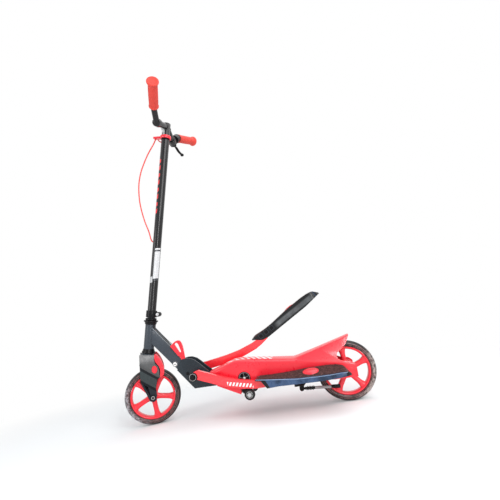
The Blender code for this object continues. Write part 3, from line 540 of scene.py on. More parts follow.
@dataclass(frozen=True)
class Tyre(Finish):
    """Solid rubber: dark, with pale patches that are partly dirt and partly painted highlight, and fine rings that
    the mould leaves on the wall, coloured with a painted reflection of the red rim.
    """

    centre: Vector = field(default_factory=Vector)
    # The way to, and the colour of, a pale patch on the tyre that is partly dirt and partly painted highlight.
    dusty: Vector = fixed(1, 0, 0)
    dust: Colour = (0.33, 0.26, 0.25)
    # The rings' warm colour is a painted reflection of the red rim on the mould rings.
    line: Colour = (0.25, 0.125, 0.12)
    lines: tuple[float, ...] = (0.0836, 0.0876, 0.0925)

    def away(self, graph: Graph) -> Signal:
        """The way from the wheel's centre to the surface point."""
        return graph.place().node("VectorMath", 0, inputs={1: tuple(self.centre)}, operation="SUBTRACT")

    def reach(self, graph: Graph) -> Signal:
        """The distance from the wheel's centre."""
        return self.away(graph).node("VectorMath", 0, "Value", operation="LENGTH")

    def hue(self, graph: Graph) -> Signal:
        """Near black, with two broken warm rings on the wall, their warm colour a painted reflection of the red rim,
        and a pale patch over one side of the wall and tread that is partly dirt and partly painted highlight.

        Args:
            graph: the finish's node tree.

        Returns:
            The base colour.
        """
        reach = self.reach(graph)
        haze = graph.noise(38.0, 5.0, 0.65).fade(0.35, 0.75)
        wall = graph.tones(haze, self.colour, 0.8, 1.5)
        tread = graph.tones(haze, self.colour, 0.7, 1.6)
        base = graph.mix(reach.fade(0.0955, 0.0990), wall, tread)
        broken = graph.noise(90.0, 4.0, 0.75).fade(0.40, 0.54)
        # Mould rings, coloured with a painted reflection of the red rim.
        for radius in self.lines:
            ring = reach.plateau((radius - 0.0013, radius - 0.0004), (radius + 0.0004, radius + 0.0013))
            base = graph.mix(ring * broken * 0.9, base, self.line)
        # A pale patch on one side of the outer wall and tread, partly dirt and partly a painted highlight.
        scuff = self.away(graph).along(self.dusty).fade(0.035, 0.085) * reach.fade(0.0835, 0.0900)
        patchy = graph.noise(110.0, 5.0, 0.7).fade(0.38, 0.62)
        return graph.mix(scuff * patchy * 0.85, base, self.dust)

    def gloss(self, graph: Graph) -> Signal:
        """Shiny in some patches and matt in others."""
        return graph.noise(45.0, 4.0, 0.6).fade(0.3, 0.7, self.rough * 0.75, self.rough * 1.25)

    def relief(self, graph: Graph) -> Signal:
        """Rings on the wall over a fine grain."""
        return (self.reach(graph) * 5200.0).sine() * 0.25 + graph.noise(self.grain, 3.0, 0.6)


@dataclass(frozen=True)
class Brushed(Finish):
    """Plated or brushed steel, with fine scratches along one way."""

    lay: Colour = (1.0, 0.06, 1.0)

    def relief(self, graph: Graph) -> Signal:
        """Scratches that run across the grain's short side."""
        return graph.noise(2400.0, 2.0, 0.6, self.lay)

    def gloss(self, graph: Graph) -> Signal:
        """Roughness that follows the scratches."""
        return graph.noise(1500.0, 3.0, 0.6, self.lay).fade(0.2, 0.8, self.rough * 0.7, self.rough * 1.4)


@dataclass(frozen=True)
class Ribbed(Finish):
    """The pedal tread's rubber, brown in the hollows and worn on the ribs."""

    def hue(self, graph: Graph) -> Signal:
        """Brown-black with paler scuffs."""
        scuff = graph.noise(140.0, 5.0, 0.7).fade(0.42, 0.7)
        return graph.tones(scuff, self.colour, 0.75, 1.9)

    def relief(self, graph: Graph) -> Signal:
        """Fine dimples between the ribs."""
        return graph.noise(1100.0, 3.0, 0.7)


@dataclass(frozen=True)
class Foam(Finish):
    """The grips' soft rubber: fine rings round the bar over a matt skin."""

    run: Vector = fixed(0, 1, 0)
    ring_pitch: float = 0.0025

    def relief(self, graph: Graph) -> Signal:
        """Fine rings with a grain over them."""
        rings = (graph.place().along(self.run) * (math.tau / self.ring_pitch)).sine()
        return rings * 0.35 + graph.noise(1300.0, 3.0, 0.6) * 0.8


@dataclass(frozen=True)
class Stem(Finish):
    """Gloss black tube with a row of plain red bars on its front and a blank pale patch low down."""

    stripe: Colour = (0.76, 0.035, 0.045)
    patch: Colour = (0.60, 0.61, 0.62)
    band: Colour = (0.045, 0.048, 0.055)
    row: tuple[float, float] = (0.757, 0.981)
    blank: tuple[float, float] = (0.514, 0.634)

    def hue(self, graph: Graph) -> Signal:
        """Black, with the bars and the blank patch by their place on the tube.

        Args:
            graph: the finish's node tree.

        Returns:
            The base colour.
        """
        x, y, z = graph.layout(Matrix())
        behind = x - (z - STEER.z) * math.tan(RAKE) - STEER.x
        row = (behind < -0.0054) * z.between(*self.row)
        long_bars = (z + y * 0.9).bars(0.0280, 0.62)
        gap = (z - y * 0.9 + 0.006).bars(0.0560, 0.80)
        patch = (y < -0.0020) * (behind > 0.0) * z.between(*self.blank)
        bands = (z < 0.522) + z.between(0.622, 0.628)
        corner = (y < -0.0084) * behind.between(-0.0134, -0.0016) * z.between(0.509, 0.531)
        base = graph.tones(graph.noise(20.0).fade(0.3, 0.7), self.colour, 0.8, 1.2)
        base = graph.mix(row * long_bars * gap, base, self.stripe)
        base = graph.mix(patch, base, graph.mix(bands, self.patch, self.band))
        return graph.mix(corner, base, scaled(self.patch, 0.8))


@dataclass(frozen=True)
class PedalShell(Finish):
    """Blue outer skirt, black front and inner side, with a painted sheen along the middle of the inner side."""

    place: Matrix = field(default_factory=Matrix)
    inner: Colour = (0.008, 0.009, 0.010)
    # The colour of the painted sheen on the inner side.
    sheen: Colour = (0.105, 0.115, 0.120)
    split: float = -0.0640

    def hue(self, graph: Graph) -> Signal:
        """The shell's tones by their place on it.

        Args:
            graph: the finish's node tree.

        Returns:
            The base colour.
        """
        x, y, z = graph.layout(self.place)
        # Painted sheen: a paler band along the middle of the inner side.
        painted_sheen_band = x.plateau((0.494, 0.520), (0.660, 0.684)) * z.plateau((0.104, 0.111), (0.121, 0.128))
        patches = graph.noise(22.0, 3.0, 0.6).fade(0.35, 0.65)
        base = graph.tones(patches, self.colour, 0.35, 1.3)
        base = graph.mix(y > self.split, base, graph.mix(painted_sheen_band * (0.55 + patches * 0.45), self.inner, self.sheen))
        ends = (x + (z - 0.130) * 0.5 < 0.4300) + (x > 0.6880)
        return graph.mix(ends, base, self.inner)


@dataclass(frozen=True)
class TubePaint(Finish):
    """Slate paint, with painted shade on the box tube's top and underside."""

    shade: Colour = (0.010, 0.010, 0.011)
    half: float = 0.0136
    start: float = 0.0345

    def hue(self, graph: Graph) -> Signal:
        """The paint, with painted shade between the box tube's two side faces.

        Args:
            graph: the finish's node tree.

        Returns:
            The base colour.
        """
        x, y, _ = graph.layout(Matrix())
        # Painted shade: the box tube's top and underside are darkened.
        middle = y.between(-self.half, self.half) * (x > self.start)
        return graph.mix(middle * 0.8, super().hue(graph), self.shade)


RED = (0.84, 0.018, 0.036)
SLATE = (0.043, 0.053, 0.066)
FINISHES = {
    "body": Marked("body_red", "body_plastic", RED, 0.30, coat=0.25, shine=0.42, drift=0.04, grain=700.0,
                   depth=0.000002, start=0.285, end=0.455, level=0.150, fall=0.0, tall=0.10,
                   across=(-0.024, 0.026), pitch=0.0210, slant=0.9),
    "plain": Finish("plain_red", "body_plastic", RED, 0.30, coat=0.25, shine=0.42, drift=0.04, grain=700.0,
                    depth=0.000002),
    "rim": Finish("rim_red", "wheel_plastic", scaled(RED, 0.96), 0.34, coat=0.15, drift=0.05),
    "slate": Finish("slate_paint", "frame_paint", SLATE, 0.38, coat=0.06, shine=0.22, grain=1300.0),
    "tube": TubePaint("tube_paint", "frame_paint", SLATE, 0.38, coat=0.06, shine=0.22, grain=1300.0),
    # The gussets' pale grey is a painted highlight on the webs under the T.
    "gusset": Finish("gusset_grey", "stem_paint", (0.36, 0.38, 0.38), 0.30, coat=0.2, drift=0.25),
    # A pale line of painted highlight along the box tube's top edges.
    "glint": Finish("worn_edge", "frame_paint", (0.20, 0.22, 0.24), 0.35, shine=0.3, drift=0.3),
    "block": Finish("block_paint", "frame_paint", (0.017, 0.024, 0.031), 0.26, coat=0.12, shine=0.22, grain=1300.0),
    "stem": Stem("stem_gloss", "stem_paint", (0.0075, 0.0075, 0.0085), 0.22, coat=0.35, shine=0.20, depth=0.000002),
    "black": Finish("satin_black", "black_metal", (0.006, 0.006, 0.007), 0.30, coat=0.05, shine=0.14, grain=1100.0),
    "matt": Finish("matt_black", "black_plastic", (0.008, 0.008, 0.009), 0.48, shine=0.12, grain=1500.0,
                   depth=0.00002),
    "cover": Speckled("cast_grey", "cover_plastic", (0.12, 0.125, 0.125), 0.50, shine=0.15, depth=0.00012),
    "tread": Ribbed("tread_brown", "tread_rubber", (0.072, 0.034, 0.032), 0.7, shine=0.12, depth=0.0001),
    # The pale blue of the pedal's edge line is a painted highlight along its rim.
    "edge": Finish("pedal_edge_blue", "pedal_plastic", (0.16, 0.24, 0.38), 0.28, coat=0.2, drift=0.25),
    "steel": Brushed("bright_steel", "bright_steel", (0.58, 0.58, 0.59), 0.28, metal=1.0),
    "dark_steel": Brushed("dark_steel", "bright_steel", (0.055, 0.055, 0.06), 0.32, metal=1.0),
    "hub": Brushed("hub_silver", "bright_steel", (0.30, 0.31, 0.30), 0.36, metal=0.85),
    "roller": Finish("roller_black", "roller_rubber", (0.016, 0.016, 0.018), 0.5, shine=0.2, drift=0.15,
                     depth=0.00003),
    "brake": Finish("brake_black", "brake_rubber", (0.018, 0.018, 0.018), 0.8, shine=0.25, depth=0.00008),
    "cable": Finish("cable_red", "cable_jacket", (0.74, 0.055, 0.045), 0.35, drift=0.04),
    "label": Finish("label_white", "white_label", (0.80, 0.80, 0.79), 0.35, drift=0.02),
    # Pale grey, also used for the painted highlight lines on the dial pulleys.
    "ring": Finish("cap_ring_grey", "black_plastic", (0.31, 0.31, 0.315), 0.33, drift=0.12),
}


def baked(part: bmesh.types.BMesh, name: str) -> bpy.types.Mesh:
    """Turns a working mesh into a stored one and frees it.

    Args:
        part: the working mesh.
        name: the stored mesh's name.

    Returns:
        The stored mesh.
    """
    mesh = bpy.data.meshes.new(name)
    part.to_mesh(mesh)
    part.free()
    return mesh


def linked(name: str, data: bpy.types.ID) -> bpy.types.Object:
    """Puts a new object into the scene.

    Args:
        name: its name.
        data: its mesh, light or camera.

    Returns:
        The object.
    """
    obj = bpy.data.objects.new(name, data)
    bpy.context.scene.collection.objects.link(obj)
    return obj


class Shape:
    """A mesh in the making, in layout metres."""

    def __init__(self) -> None:
        """Starts empty."""
        self.bm = bmesh.new()

    @classmethod
    def of(cls, node: str) -> "Shape":
        """A copy of a node's mesh, brought back to the layout's place.

        Args:
            node: the node's name.

        Returns:
            The new shape.
        """
        made = cls()
        made.bm.from_mesh(frame["nodes"][node].data)
        bmesh.ops.remove_doubles(made.bm, verts=made.bm.verts, dist=WELD)
        bmesh.ops.dissolve_limit(made.bm, angle_limit=math.radians(0.5), verts=made.bm.verts, edges=made.bm.edges)
        bmesh.ops.translate(made.bm, verts=made.bm.verts, vec=-SHIFT)
        return made

    def loft(self, rings: Sequence[Sequence[Vector]]) -> "Shape":
        """Adds a bar whose end face starts on the first ring and is extruded onto each later one.

        Args:
            rings: rows of points, each with the same count.

        Returns:
            This shape.
        """
        part = bmesh.new()
        face = part.faces.new([part.verts.new(point) for point in rings[0]])
        for number, ring in enumerate(rings[1:]):
            grown = bmesh.ops.extrude_face_region(part, geom=[face])["geom"]
            if number:
                bmesh.ops.delete(part, geom=[face], context="FACES_ONLY")
            face = next(item for item in grown if isinstance(item, bmesh.types.BMFace))
            for vert, point in zip(face.verts, ring):
                vert.co = point
        bmesh.ops.recalc_face_normals(part, faces=part.faces)
        return self.take(part)

    def prism(self, outline: Points, low: float, high: float) -> "Shape":
        """Adds an outline of (x, z) points made solid between two values of y."""
        return self.loft([[Vector((x, y, z)) for x, z in outline] for y in (low, high)])

    def lathe(self, profile: Points, centre: Vector, axis: Vector, steps: int = 64) -> "Shape":
        """Adds a turned ring: (radius, height) points about a line through the centre.

        Args:
            profile: the section's points. One that starts and ends on the axis closes there.
            centre: where the section's zero height lies.
            axis: the way that its heights run.
            steps: sides of the ring.

        Returns:
            This shape.
        """
        place = Matrix.Translation(centre) @ frame_along(axis)
        part = bmesh.new()
        verts = [part.verts.new((r, 0, h)) for r, h in profile]
        edges = [part.edges.new(pair) for pair in zip(verts, verts[1:])]
        if profile[0][0] > 0 or profile[-1][0] > 0:
            edges.append(part.edges.new((verts[-1], verts[0])))
        bmesh.ops.spin(part, geom=verts + edges, cent=(0, 0, 0), axis=(0, 0, 1), angle=math.tau, steps=steps,
                       use_merge=True)
        bmesh.ops.remove_doubles(part, verts=part.verts, dist=SEAM)
        bmesh.ops.dissolve_degenerate(part, edges=part.edges, dist=SEAM)
        bmesh.ops.recalc_face_normals(part, faces=part.faces)
        bmesh.ops.transform(part, matrix=place, verts=part.verts)
        return self.take(part)

    def rod(self, start: Vector, end: Vector, radius: float, bevel: float = 0.0005, steps: int = 48) -> "Shape":
        """Adds a round bar with softened ends.

        Args:
            start: the middle of one end.
            end: the middle of the other.
            radius: its radius.
            bevel: radius of the rounded ends.
            steps: sides of the bar.

        Returns:
            This shape.
        """
        start, end = Vector(start), Vector(end)
        long = (end - start).length
        edge = [(radius - bevel + bevel * math.sin(t), bevel - bevel * math.cos(t))
                for t in (math.radians(90 * step / 4) for step in range(5))]
        profile = [(0, 0), *edge, *[(r, long - h) for r, h in reversed(edge)], (0, long)]
        return self.lathe(profile, start, end - start, steps)

    def tube(self, path: Sequence[Vector], radius: Union[float, Callable[[float], float]], sides: int = 24,
             flat: float = 1.0, up: Optional[Vector] = None) -> "Shape":
        """Adds a bar along the path, its rings carried along without twist.

        Args:
            path: the bar's middle line.
            radius: its radius, or a function that gives it for 0 to 1 along the path.
            sides: points in a ring.
            flat: how thick it is against its width.
            up: the way that its width lies at the start, if that matters.

        Returns:
            This shape.
        """
        rings = []
        side = up.copy() if up else None
        for index, point in enumerate(path):
            ahead = (path[min(index + 1, len(path) - 1)] - path[max(index - 1, 0)]).normalized()
            side = (side - ahead * side.dot(ahead) if side else ahead.orthogonal()).normalized()
            other = ahead.cross(side)
            r = radius(index / (len(path) - 1)) if callable(radius) else radius
            rings.append([point + r * (math.cos(t) * side + flat * math.sin(t) * other)
                          for t in (math.tau * step / sides for step in range(sides))])
        return self.loft(rings)

    def take(self, other: Union["Shape", bmesh.types.BMesh]) -> "Shape":
        """Adds another mesh to this one and frees it.

        Args:
            other: the other mesh.

        Returns:
            This shape.
        """
        holder = baked(other.bm if isinstance(other, Shape) else other, "part")
        self.bm.from_mesh(holder)
        bpy.data.meshes.remove(holder)
        return self

    def turn(self, matrix: Matrix) -> "Shape":
        """Moves every point by the matrix.

        Args:
            matrix: the matrix. One that mirrors also turns the faces over.

        Returns:
            This shape.
        """
        bmesh.ops.transform(self.bm, matrix=matrix, verts=self.bm.verts)
        if matrix.determinant() < 0:
            bmesh.ops.reverse_faces(self.bm, faces=self.bm.faces)
        return self

    def soften(self, width: float, segments: int = 2, angle: float = CREASE) -> "Shape":
        """Rounds every sharp edge.

        Args:
            width: the bevel's width.
            segments: faces across it.
            angle: edges beyond this angle, in degrees, are rounded.

        Returns:
            This shape.
        """
        sharp = [edge for edge in self.bm.edges
                 if len(edge.link_faces) == 2 and edge.calc_face_angle(0.0) > math.radians(angle)]
        bmesh.ops.bevel(self.bm, geom=sharp, offset=width, offset_type="OFFSET", segments=segments, profile=0.5,
                        affect="EDGES", clamp_overlap=True, material=-1)
        return self

    def carve(self, other: "Shape", operation: str = "DIFFERENCE") -> "Shape":
        """Cuts this shape with another, exactly.

        Args:
            other: the cutter, which is used up.
            operation: DIFFERENCE takes the cutter away, INTERSECT keeps what lies inside it.

        Returns:
            This shape.
        """
        pair = [linked("carve", baked(shape.bm, "carve")) for shape in (self, other)]
        step = pair[0].modifiers.new("carve", "BOOLEAN")
        step.operation = operation
        step.solver = "EXACT"
        step.object = pair[1]
        bpy.context.view_layer.update()
        result = bpy.data.meshes.new_from_object(pair[0].evaluated_get(bpy.context.evaluated_depsgraph_get()))
        self.bm = bmesh.new()
        self.bm.from_mesh(result)
        bmesh.ops.remove_doubles(self.bm, verts=self.bm.verts, dist=WELD)
        for obj in pair:
            mesh = obj.data
            bpy.data.objects.remove(obj, do_unlink=True)
            bpy.data.meshes.remove(mesh)
        bpy.data.meshes.remove(result)
        return self

    def build(self, name: str, finish: Union[Finish, str], body: str, *nodes: str, sharp: float = CREASE) -> None:
        """Turns the shape into a finished piece.

        Args:
            name: the piece's name.
            finish: its finish, or the finish's key.
            body: the body that it rides on.
            nodes: the nodes that it stands for.
            sharp: edges beyond this angle, in degrees, stay sharp.
        """
        finish = FINISHES[finish] if isinstance(finish, str) else finish
        bmesh.ops.translate(self.bm, verts=self.bm.verts, vec=SHIFT)
        mesh = baked(self.bm, name)
        mesh.shade_smooth()
        mesh.set_sharp_from_angle(angle=math.radians(sharp))
        mesh.materials.append(finish.material())
        obj = linked(name, mesh)
        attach(obj, body)
        if nodes:
            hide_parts(*nodes)


def dress(node: str, finish: str) -> None:
    """Gives a node that keeps its own mesh a finish.

    Args:
        node: the node's name.
        finish: the finish's key.
    """
    obj = frame["nodes"][node]
    obj.data.materials.clear()
    obj.data.materials.append(FINISHES[finish].material())


@dataclass(kw_only=True)
class Assembly:
    """Pieces that are built together.

    Attributes:
        body: the body that they ride on, where a piece names no other.
        place: how new shapes are turned from the layout to their place.
    """

    body: str = "rear_frame"
    place: Matrix = field(default_factory=Matrix)

    def put(self, shape: Shape, name: str, finish: Union[Finish, str], *nodes: str, body: str = "",
            sharp: float = CREASE) -> None:
        """Turns a new shape to its place and finishes it, on the assembly's body unless another is named."""
        shape.turn(self.place).build(name, finish, body or self.body, *nodes, sharp=sharp)

    def refine(self, node: str, finish: str, width: float = 0.0005, segments: int = 2, body: str = "") -> None:
        """Rounds the edges of a node's own shape, which has its place already, and finishes it."""
        Shape.of(node).soften(width, segments).build(node + "_piece", finish, body or self.body, node)


@dataclass
class Wheel(Assembly):
    """A solid tyre on a five-spoke rim, built about the origin's Y axis and then put on its axle.

    Attributes:
        name: what the names of its nodes start with.
        first: the first spoke's angle, in degrees.
        dusty: the way to the tyre's pale patch, partly dirt and partly painted highlight.
        dust: the colour of that patch.
    """

    name: str
    first: float
    dusty: Vector
    dust: Colour
    tyre_half: float = 0.0155
    rim_r: float = 0.0798
    inner_r: float = 0.0725
    rim_half: float = 0.0133
    hub_r: float = 0.0175
    hub_half: float = 0.0140
    bore_r: float = 0.0056
    spokes: int = 5
    spoke_steps: int = 18
    spoke_sides: int = 20
    spoke_root: float = 0.0135

    def tyre(self) -> None:
        """A round-shouldered tyre with a shallow groove each side of the tread."""
        half = [(self.rim_r + 0.0008, 0.0), (self.rim_r + 0.0008, 0.0118), (0.0818, 0.0136), (0.0838, 0.0149),
                (0.0862, self.tyre_half), (0.0890, self.tyre_half + 0.0001), (0.0918, 0.0150), (0.0946, 0.0135),
                (0.0966, 0.0116), (0.0981, 0.0093), (0.09845, 0.0086), (0.0980, 0.0080), (0.0990, 0.0071),
                (0.0996, 0.0048), (0.09995, 0.0022), (0.1000, 0.0)]
        path = smoothed(half, 3)
        profile = path + [(r, -h) for r, h in reversed(path[1:-1])]
        centre = self.place @ Vector((0, 0, 0)) + SHIFT
        rubber = Tyre(self.name + "_rubber", "tyre_rubber", (0.020, 0.015, 0.015), 0.34, coat=0.10, shine=0.25,
                      grain=700.0, depth=0.00005, centre=centre, dusty=self.dusty, dust=self.dust)
        shape = Shape().lathe(profile, Vector(), ACROSS, 160)
        self.put(shape, self.name + "_tyre_piece", rubber, self.name + "_tyre")

    def ring(self) -> list[tuple[float, float]]:
        """The rim's section: a lip each side and a shallow channel inside.

        Returns:
            The section's (radius, height) points.
        """
        lip = self.rim_half
        return mirrored([(self.rim_r, lip - 0.0012), (self.rim_r - 0.0012, lip), (self.inner_r + 0.0030, lip),
                         (self.inner_r + 0.0012, lip - 0.0006), (self.inner_r, lip - 0.0024),
                         (self.inner_r - 0.0004, 0.0)])

    def spoke(self, turn: float) -> list[list[Vector]]:
        """One spoke's rings, flared at both ends, with a raised ridge along its middle.

        Args:
            turn: its angle round the axle.

        Returns:
            Its rings, from the hub out.
        """
        rings = []
        spin = Matrix.Rotation(-turn, 4, "Y")
        for step in range(self.spoke_steps + 1):
            t = step / self.spoke_steps
            reach = self.spoke_root + (self.inner_r + 0.0015 - self.spoke_root) * t
            wide = 0.0086 + 0.0062 * max(0.0, t - 0.62) ** 2 / 0.1444 + 0.0022 * max(0.0, 0.30 - t) ** 2 / 0.09
            deep = 0.0098 + 0.0014 * abs(t - 0.45) / 0.55
            ring = []
            for index in range(self.spoke_sides):
                angle = math.tau * index / self.spoke_sides
                c, s = math.cos(angle), math.sin(angle)
                across = wide * math.copysign(abs(c) ** 0.62, c)
                over = deep * math.copysign(abs(s) ** 0.55, s)
                ring.append(spin @ Vector((reach, over, across)))
            rings.append(ring)
        return rings

    def rim(self) -> None:
        """Ring, hub and spokes as one moulding."""
        shape = Shape().lathe(self.ring(), Vector(), ACROSS, 144)
        hub = [(self.bore_r, self.hub_half), (self.hub_r - 0.0030, self.hub_half),
               (self.hub_r - 0.0010, self.hub_half - 0.0008), (self.hub_r, self.hub_half - 0.0028)]
        shape.lathe(mirrored(hub), Vector(), ACROSS, 64)
        for index in range(self.spokes):
            shape.loft(self.spoke(math.radians(self.first + 360 / self.spokes * index)))
        self.put(shape, self.name + "_rim_piece", "rim", self.name + "_rim")

    def bearings(self) -> None:
        """A dark seal at each end of the hub."""
        for side in Side:
            face = side.out * (self.hub_half + 0.00005)
            section = mm((6, 0), (10.8, 0), (11.2, 0.3), (10.8, 0.6), (6, 0.6))
            seal = Shape().lathe(section, face, side.out, 48)
            self.put(seal, f"{self.name}_bearing_{side.word}", "dark_steel")

    def make(self) -> None:
        """Builds the whole wheel."""
        self.tyre()
        self.rim()
        self.bearings()


@dataclass
class Fork(Assembly):
    """The fork with its cast covers, inlays, badges, axle, locknut and brake shoe."""

    body: str = "front_fork"
    place: Matrix = field(default_factory=FORK_TURN.copy)
    edge: float = 0.0008
    band_low: float = 0.0240
    band_high: float = 0.0335
    head_face: float = 0.0338
    steps: tuple = (
        (((24.6, 169), (23.3, 158.4)), ((-31, 214), (-32.3, 204.5)), 0.0320),
        (((14.3, 128.5), (14.7, 117.0)), ((-35, 170), (-34.7, 159)), 0.0305),
    )

    def slopes(self, side: Side) -> None:
        """The ramp under each step of a cover, from the step's face down to the next one.

        Args:
            side: the cover's side.
        """
        shape = Shape()
        for right, left, face in self.steps:
            rings = []
            for top, foot in (mm(*right), mm(*left)):
                heights = ((top, face - 0.0001), (foot, face - 0.0014), (foot, face - 0.0022), (top, face - 0.0022))
                rings.append([Vector((x, side.value * y, z)) for (x, z), y in heights])
            shape.loft(rings)
        self.put(shape, "cover_slopes_" + side.word, "cover", sharp=20.0)

    def inlay(self, side: Side) -> None:
        """The red curved band along a cover's rear edge, round its dark bed.

        Args:
            side: the cover's side.
        """
        rear = mm((24, 249.6), (30.3, 249.4), (38.9, 238.2), (45.2, 224.2), (49.9, 207.6), (51.5, 193),
                  (50.4, 182), (47.3, 173.2), (36.4, 165.2))
        front = mm((36.4, 165.2), (34.4, 171), (36, 180), (37.2, 190), (36.0, 201), (31.0, 212), (25, 222),
                   (22.3, 234), (24, 249.6))
        outline = smoothed(rear, 6)[:-1] + smoothed(front, 6)[:-1]
        low, high = sorted((side.value * self.band_low, side.value * self.band_high))
        shape = Shape().prism(outline, low, high).soften(0.0009, 3)
        self.put(shape, "inlay_band_" + side.word, "plain")

    def axle_head(self) -> None:
        """The bolt head's bright ring round its dark six-sided socket."""
        face = Vector((0.0, -self.head_face, WHEEL_R))
        ring = mm((4.2, 0), (4.2, 0.3), (4.7, 0.5), (5.8, 0.5), (6.3, 0.2), (6.3, 0))
        self.put(Shape().lathe(ring, face, -ACROSS, 48), "axle_head_ring", "ring")
        socket = Shape().rod(face, face - ACROSS * 0.0002, 0.0038, 0.00005, 6)
        self.put(socket, "axle_head_socket", "matt")

    def make(self) -> None:
        """Builds the whole fork."""
        self.refine("fork", "slate", 0.0010, 3)
        for side in Side:
            self.refine("fork_cover_" + side.word, "cover", self.edge, 3)
            self.refine("fork_inlay_" + side.word, "matt", 0.0006, 3)
            self.inlay(side)
            self.refine("fork_badge_" + side.word, "plain", 0.0012, 4)
            self.slopes(side)
        self.refine("headset_locknut", "black", 0.0004)
        self.refine("front_axle", "black", 0.0005)
        self.axle_head()
        self.refine("front_axle_nut", "steel", 0.0006)
        self.refine("brake_shoe", "brake", 0.0006, body="shoe")


@dataclass
class FrontFrame(Assembly):
    """Head tube, down tube with its weld, cups, blank round label and the fold release."""

    body: str = "front_frame"
    bead: float = 0.0016
    half: float = 0.0150

    def weld(self) -> None:
        """Overlapping beads where the box tube meets the head tube, and a painted highlight line along each top edge
        of the box tube.
        """
        for side in Side:
            y = side.value * self.half
            spots = ((0.0500, 0.0125), (0.0300, 0.0122), (0.0080, 0.0120), (-0.0060, 0.0122))
            route = curve_through([on_axis(*spot, y) for spot in spots], 22)
            shape = Shape().tube(route, lambda t: self.bead * (1 + 0.22 * abs(math.sin(t * 64))), 12)
            self.put(shape, "weld_bead_" + side.word, "slate", sharp=70.0)
            # A thin pale tube along the box tube's top edge, a painted highlight.
            y = side.value * (self.half - 0.0001)
            edge = [(0.0300, y, 0.3480), (0.0520, y, 0.3200), (0.0756, y, 0.2905), (0.0945, y, 0.2698)]
            self.put(Shape().tube(curve_through(edge, 12), 0.0009, 10), "tube_edge_" + side.word, "glint")

    def label_ring(self) -> None:
        """A plain dark ring and dash on the round label."""
        face = Vector((0.1035, -0.0159, 0.2030))
        ring = mm((7.4, 0), (7.4, 0.2), (8.8, 0.2), (8.8, 0))
        shape = Shape().lathe(ring, face, -ACROSS, 64)
        shape.prism(mm((99.5, 202), (107.5, 202), (107.5, 204), (99.5, 204)), -0.0161, -0.0159)
        self.put(shape, "round_label_ring", "matt")

    def make(self) -> None:
        """Builds the front frame."""
        self.refine("head_frame", "tube", 0.0016, 4)
        self.weld()
        for cup in ("headset_lower_cup", "headset_upper_cup"):
            self.refine(cup, "black", 0.0004)
        self.refine("round_label", "label", 0.0002)
        self.label_ring()
        self.refine("release_lever", "plain", 0.0014, 4, body="fold_release")
        self.refine("release_lever_bolt", "steel", 0.0003)


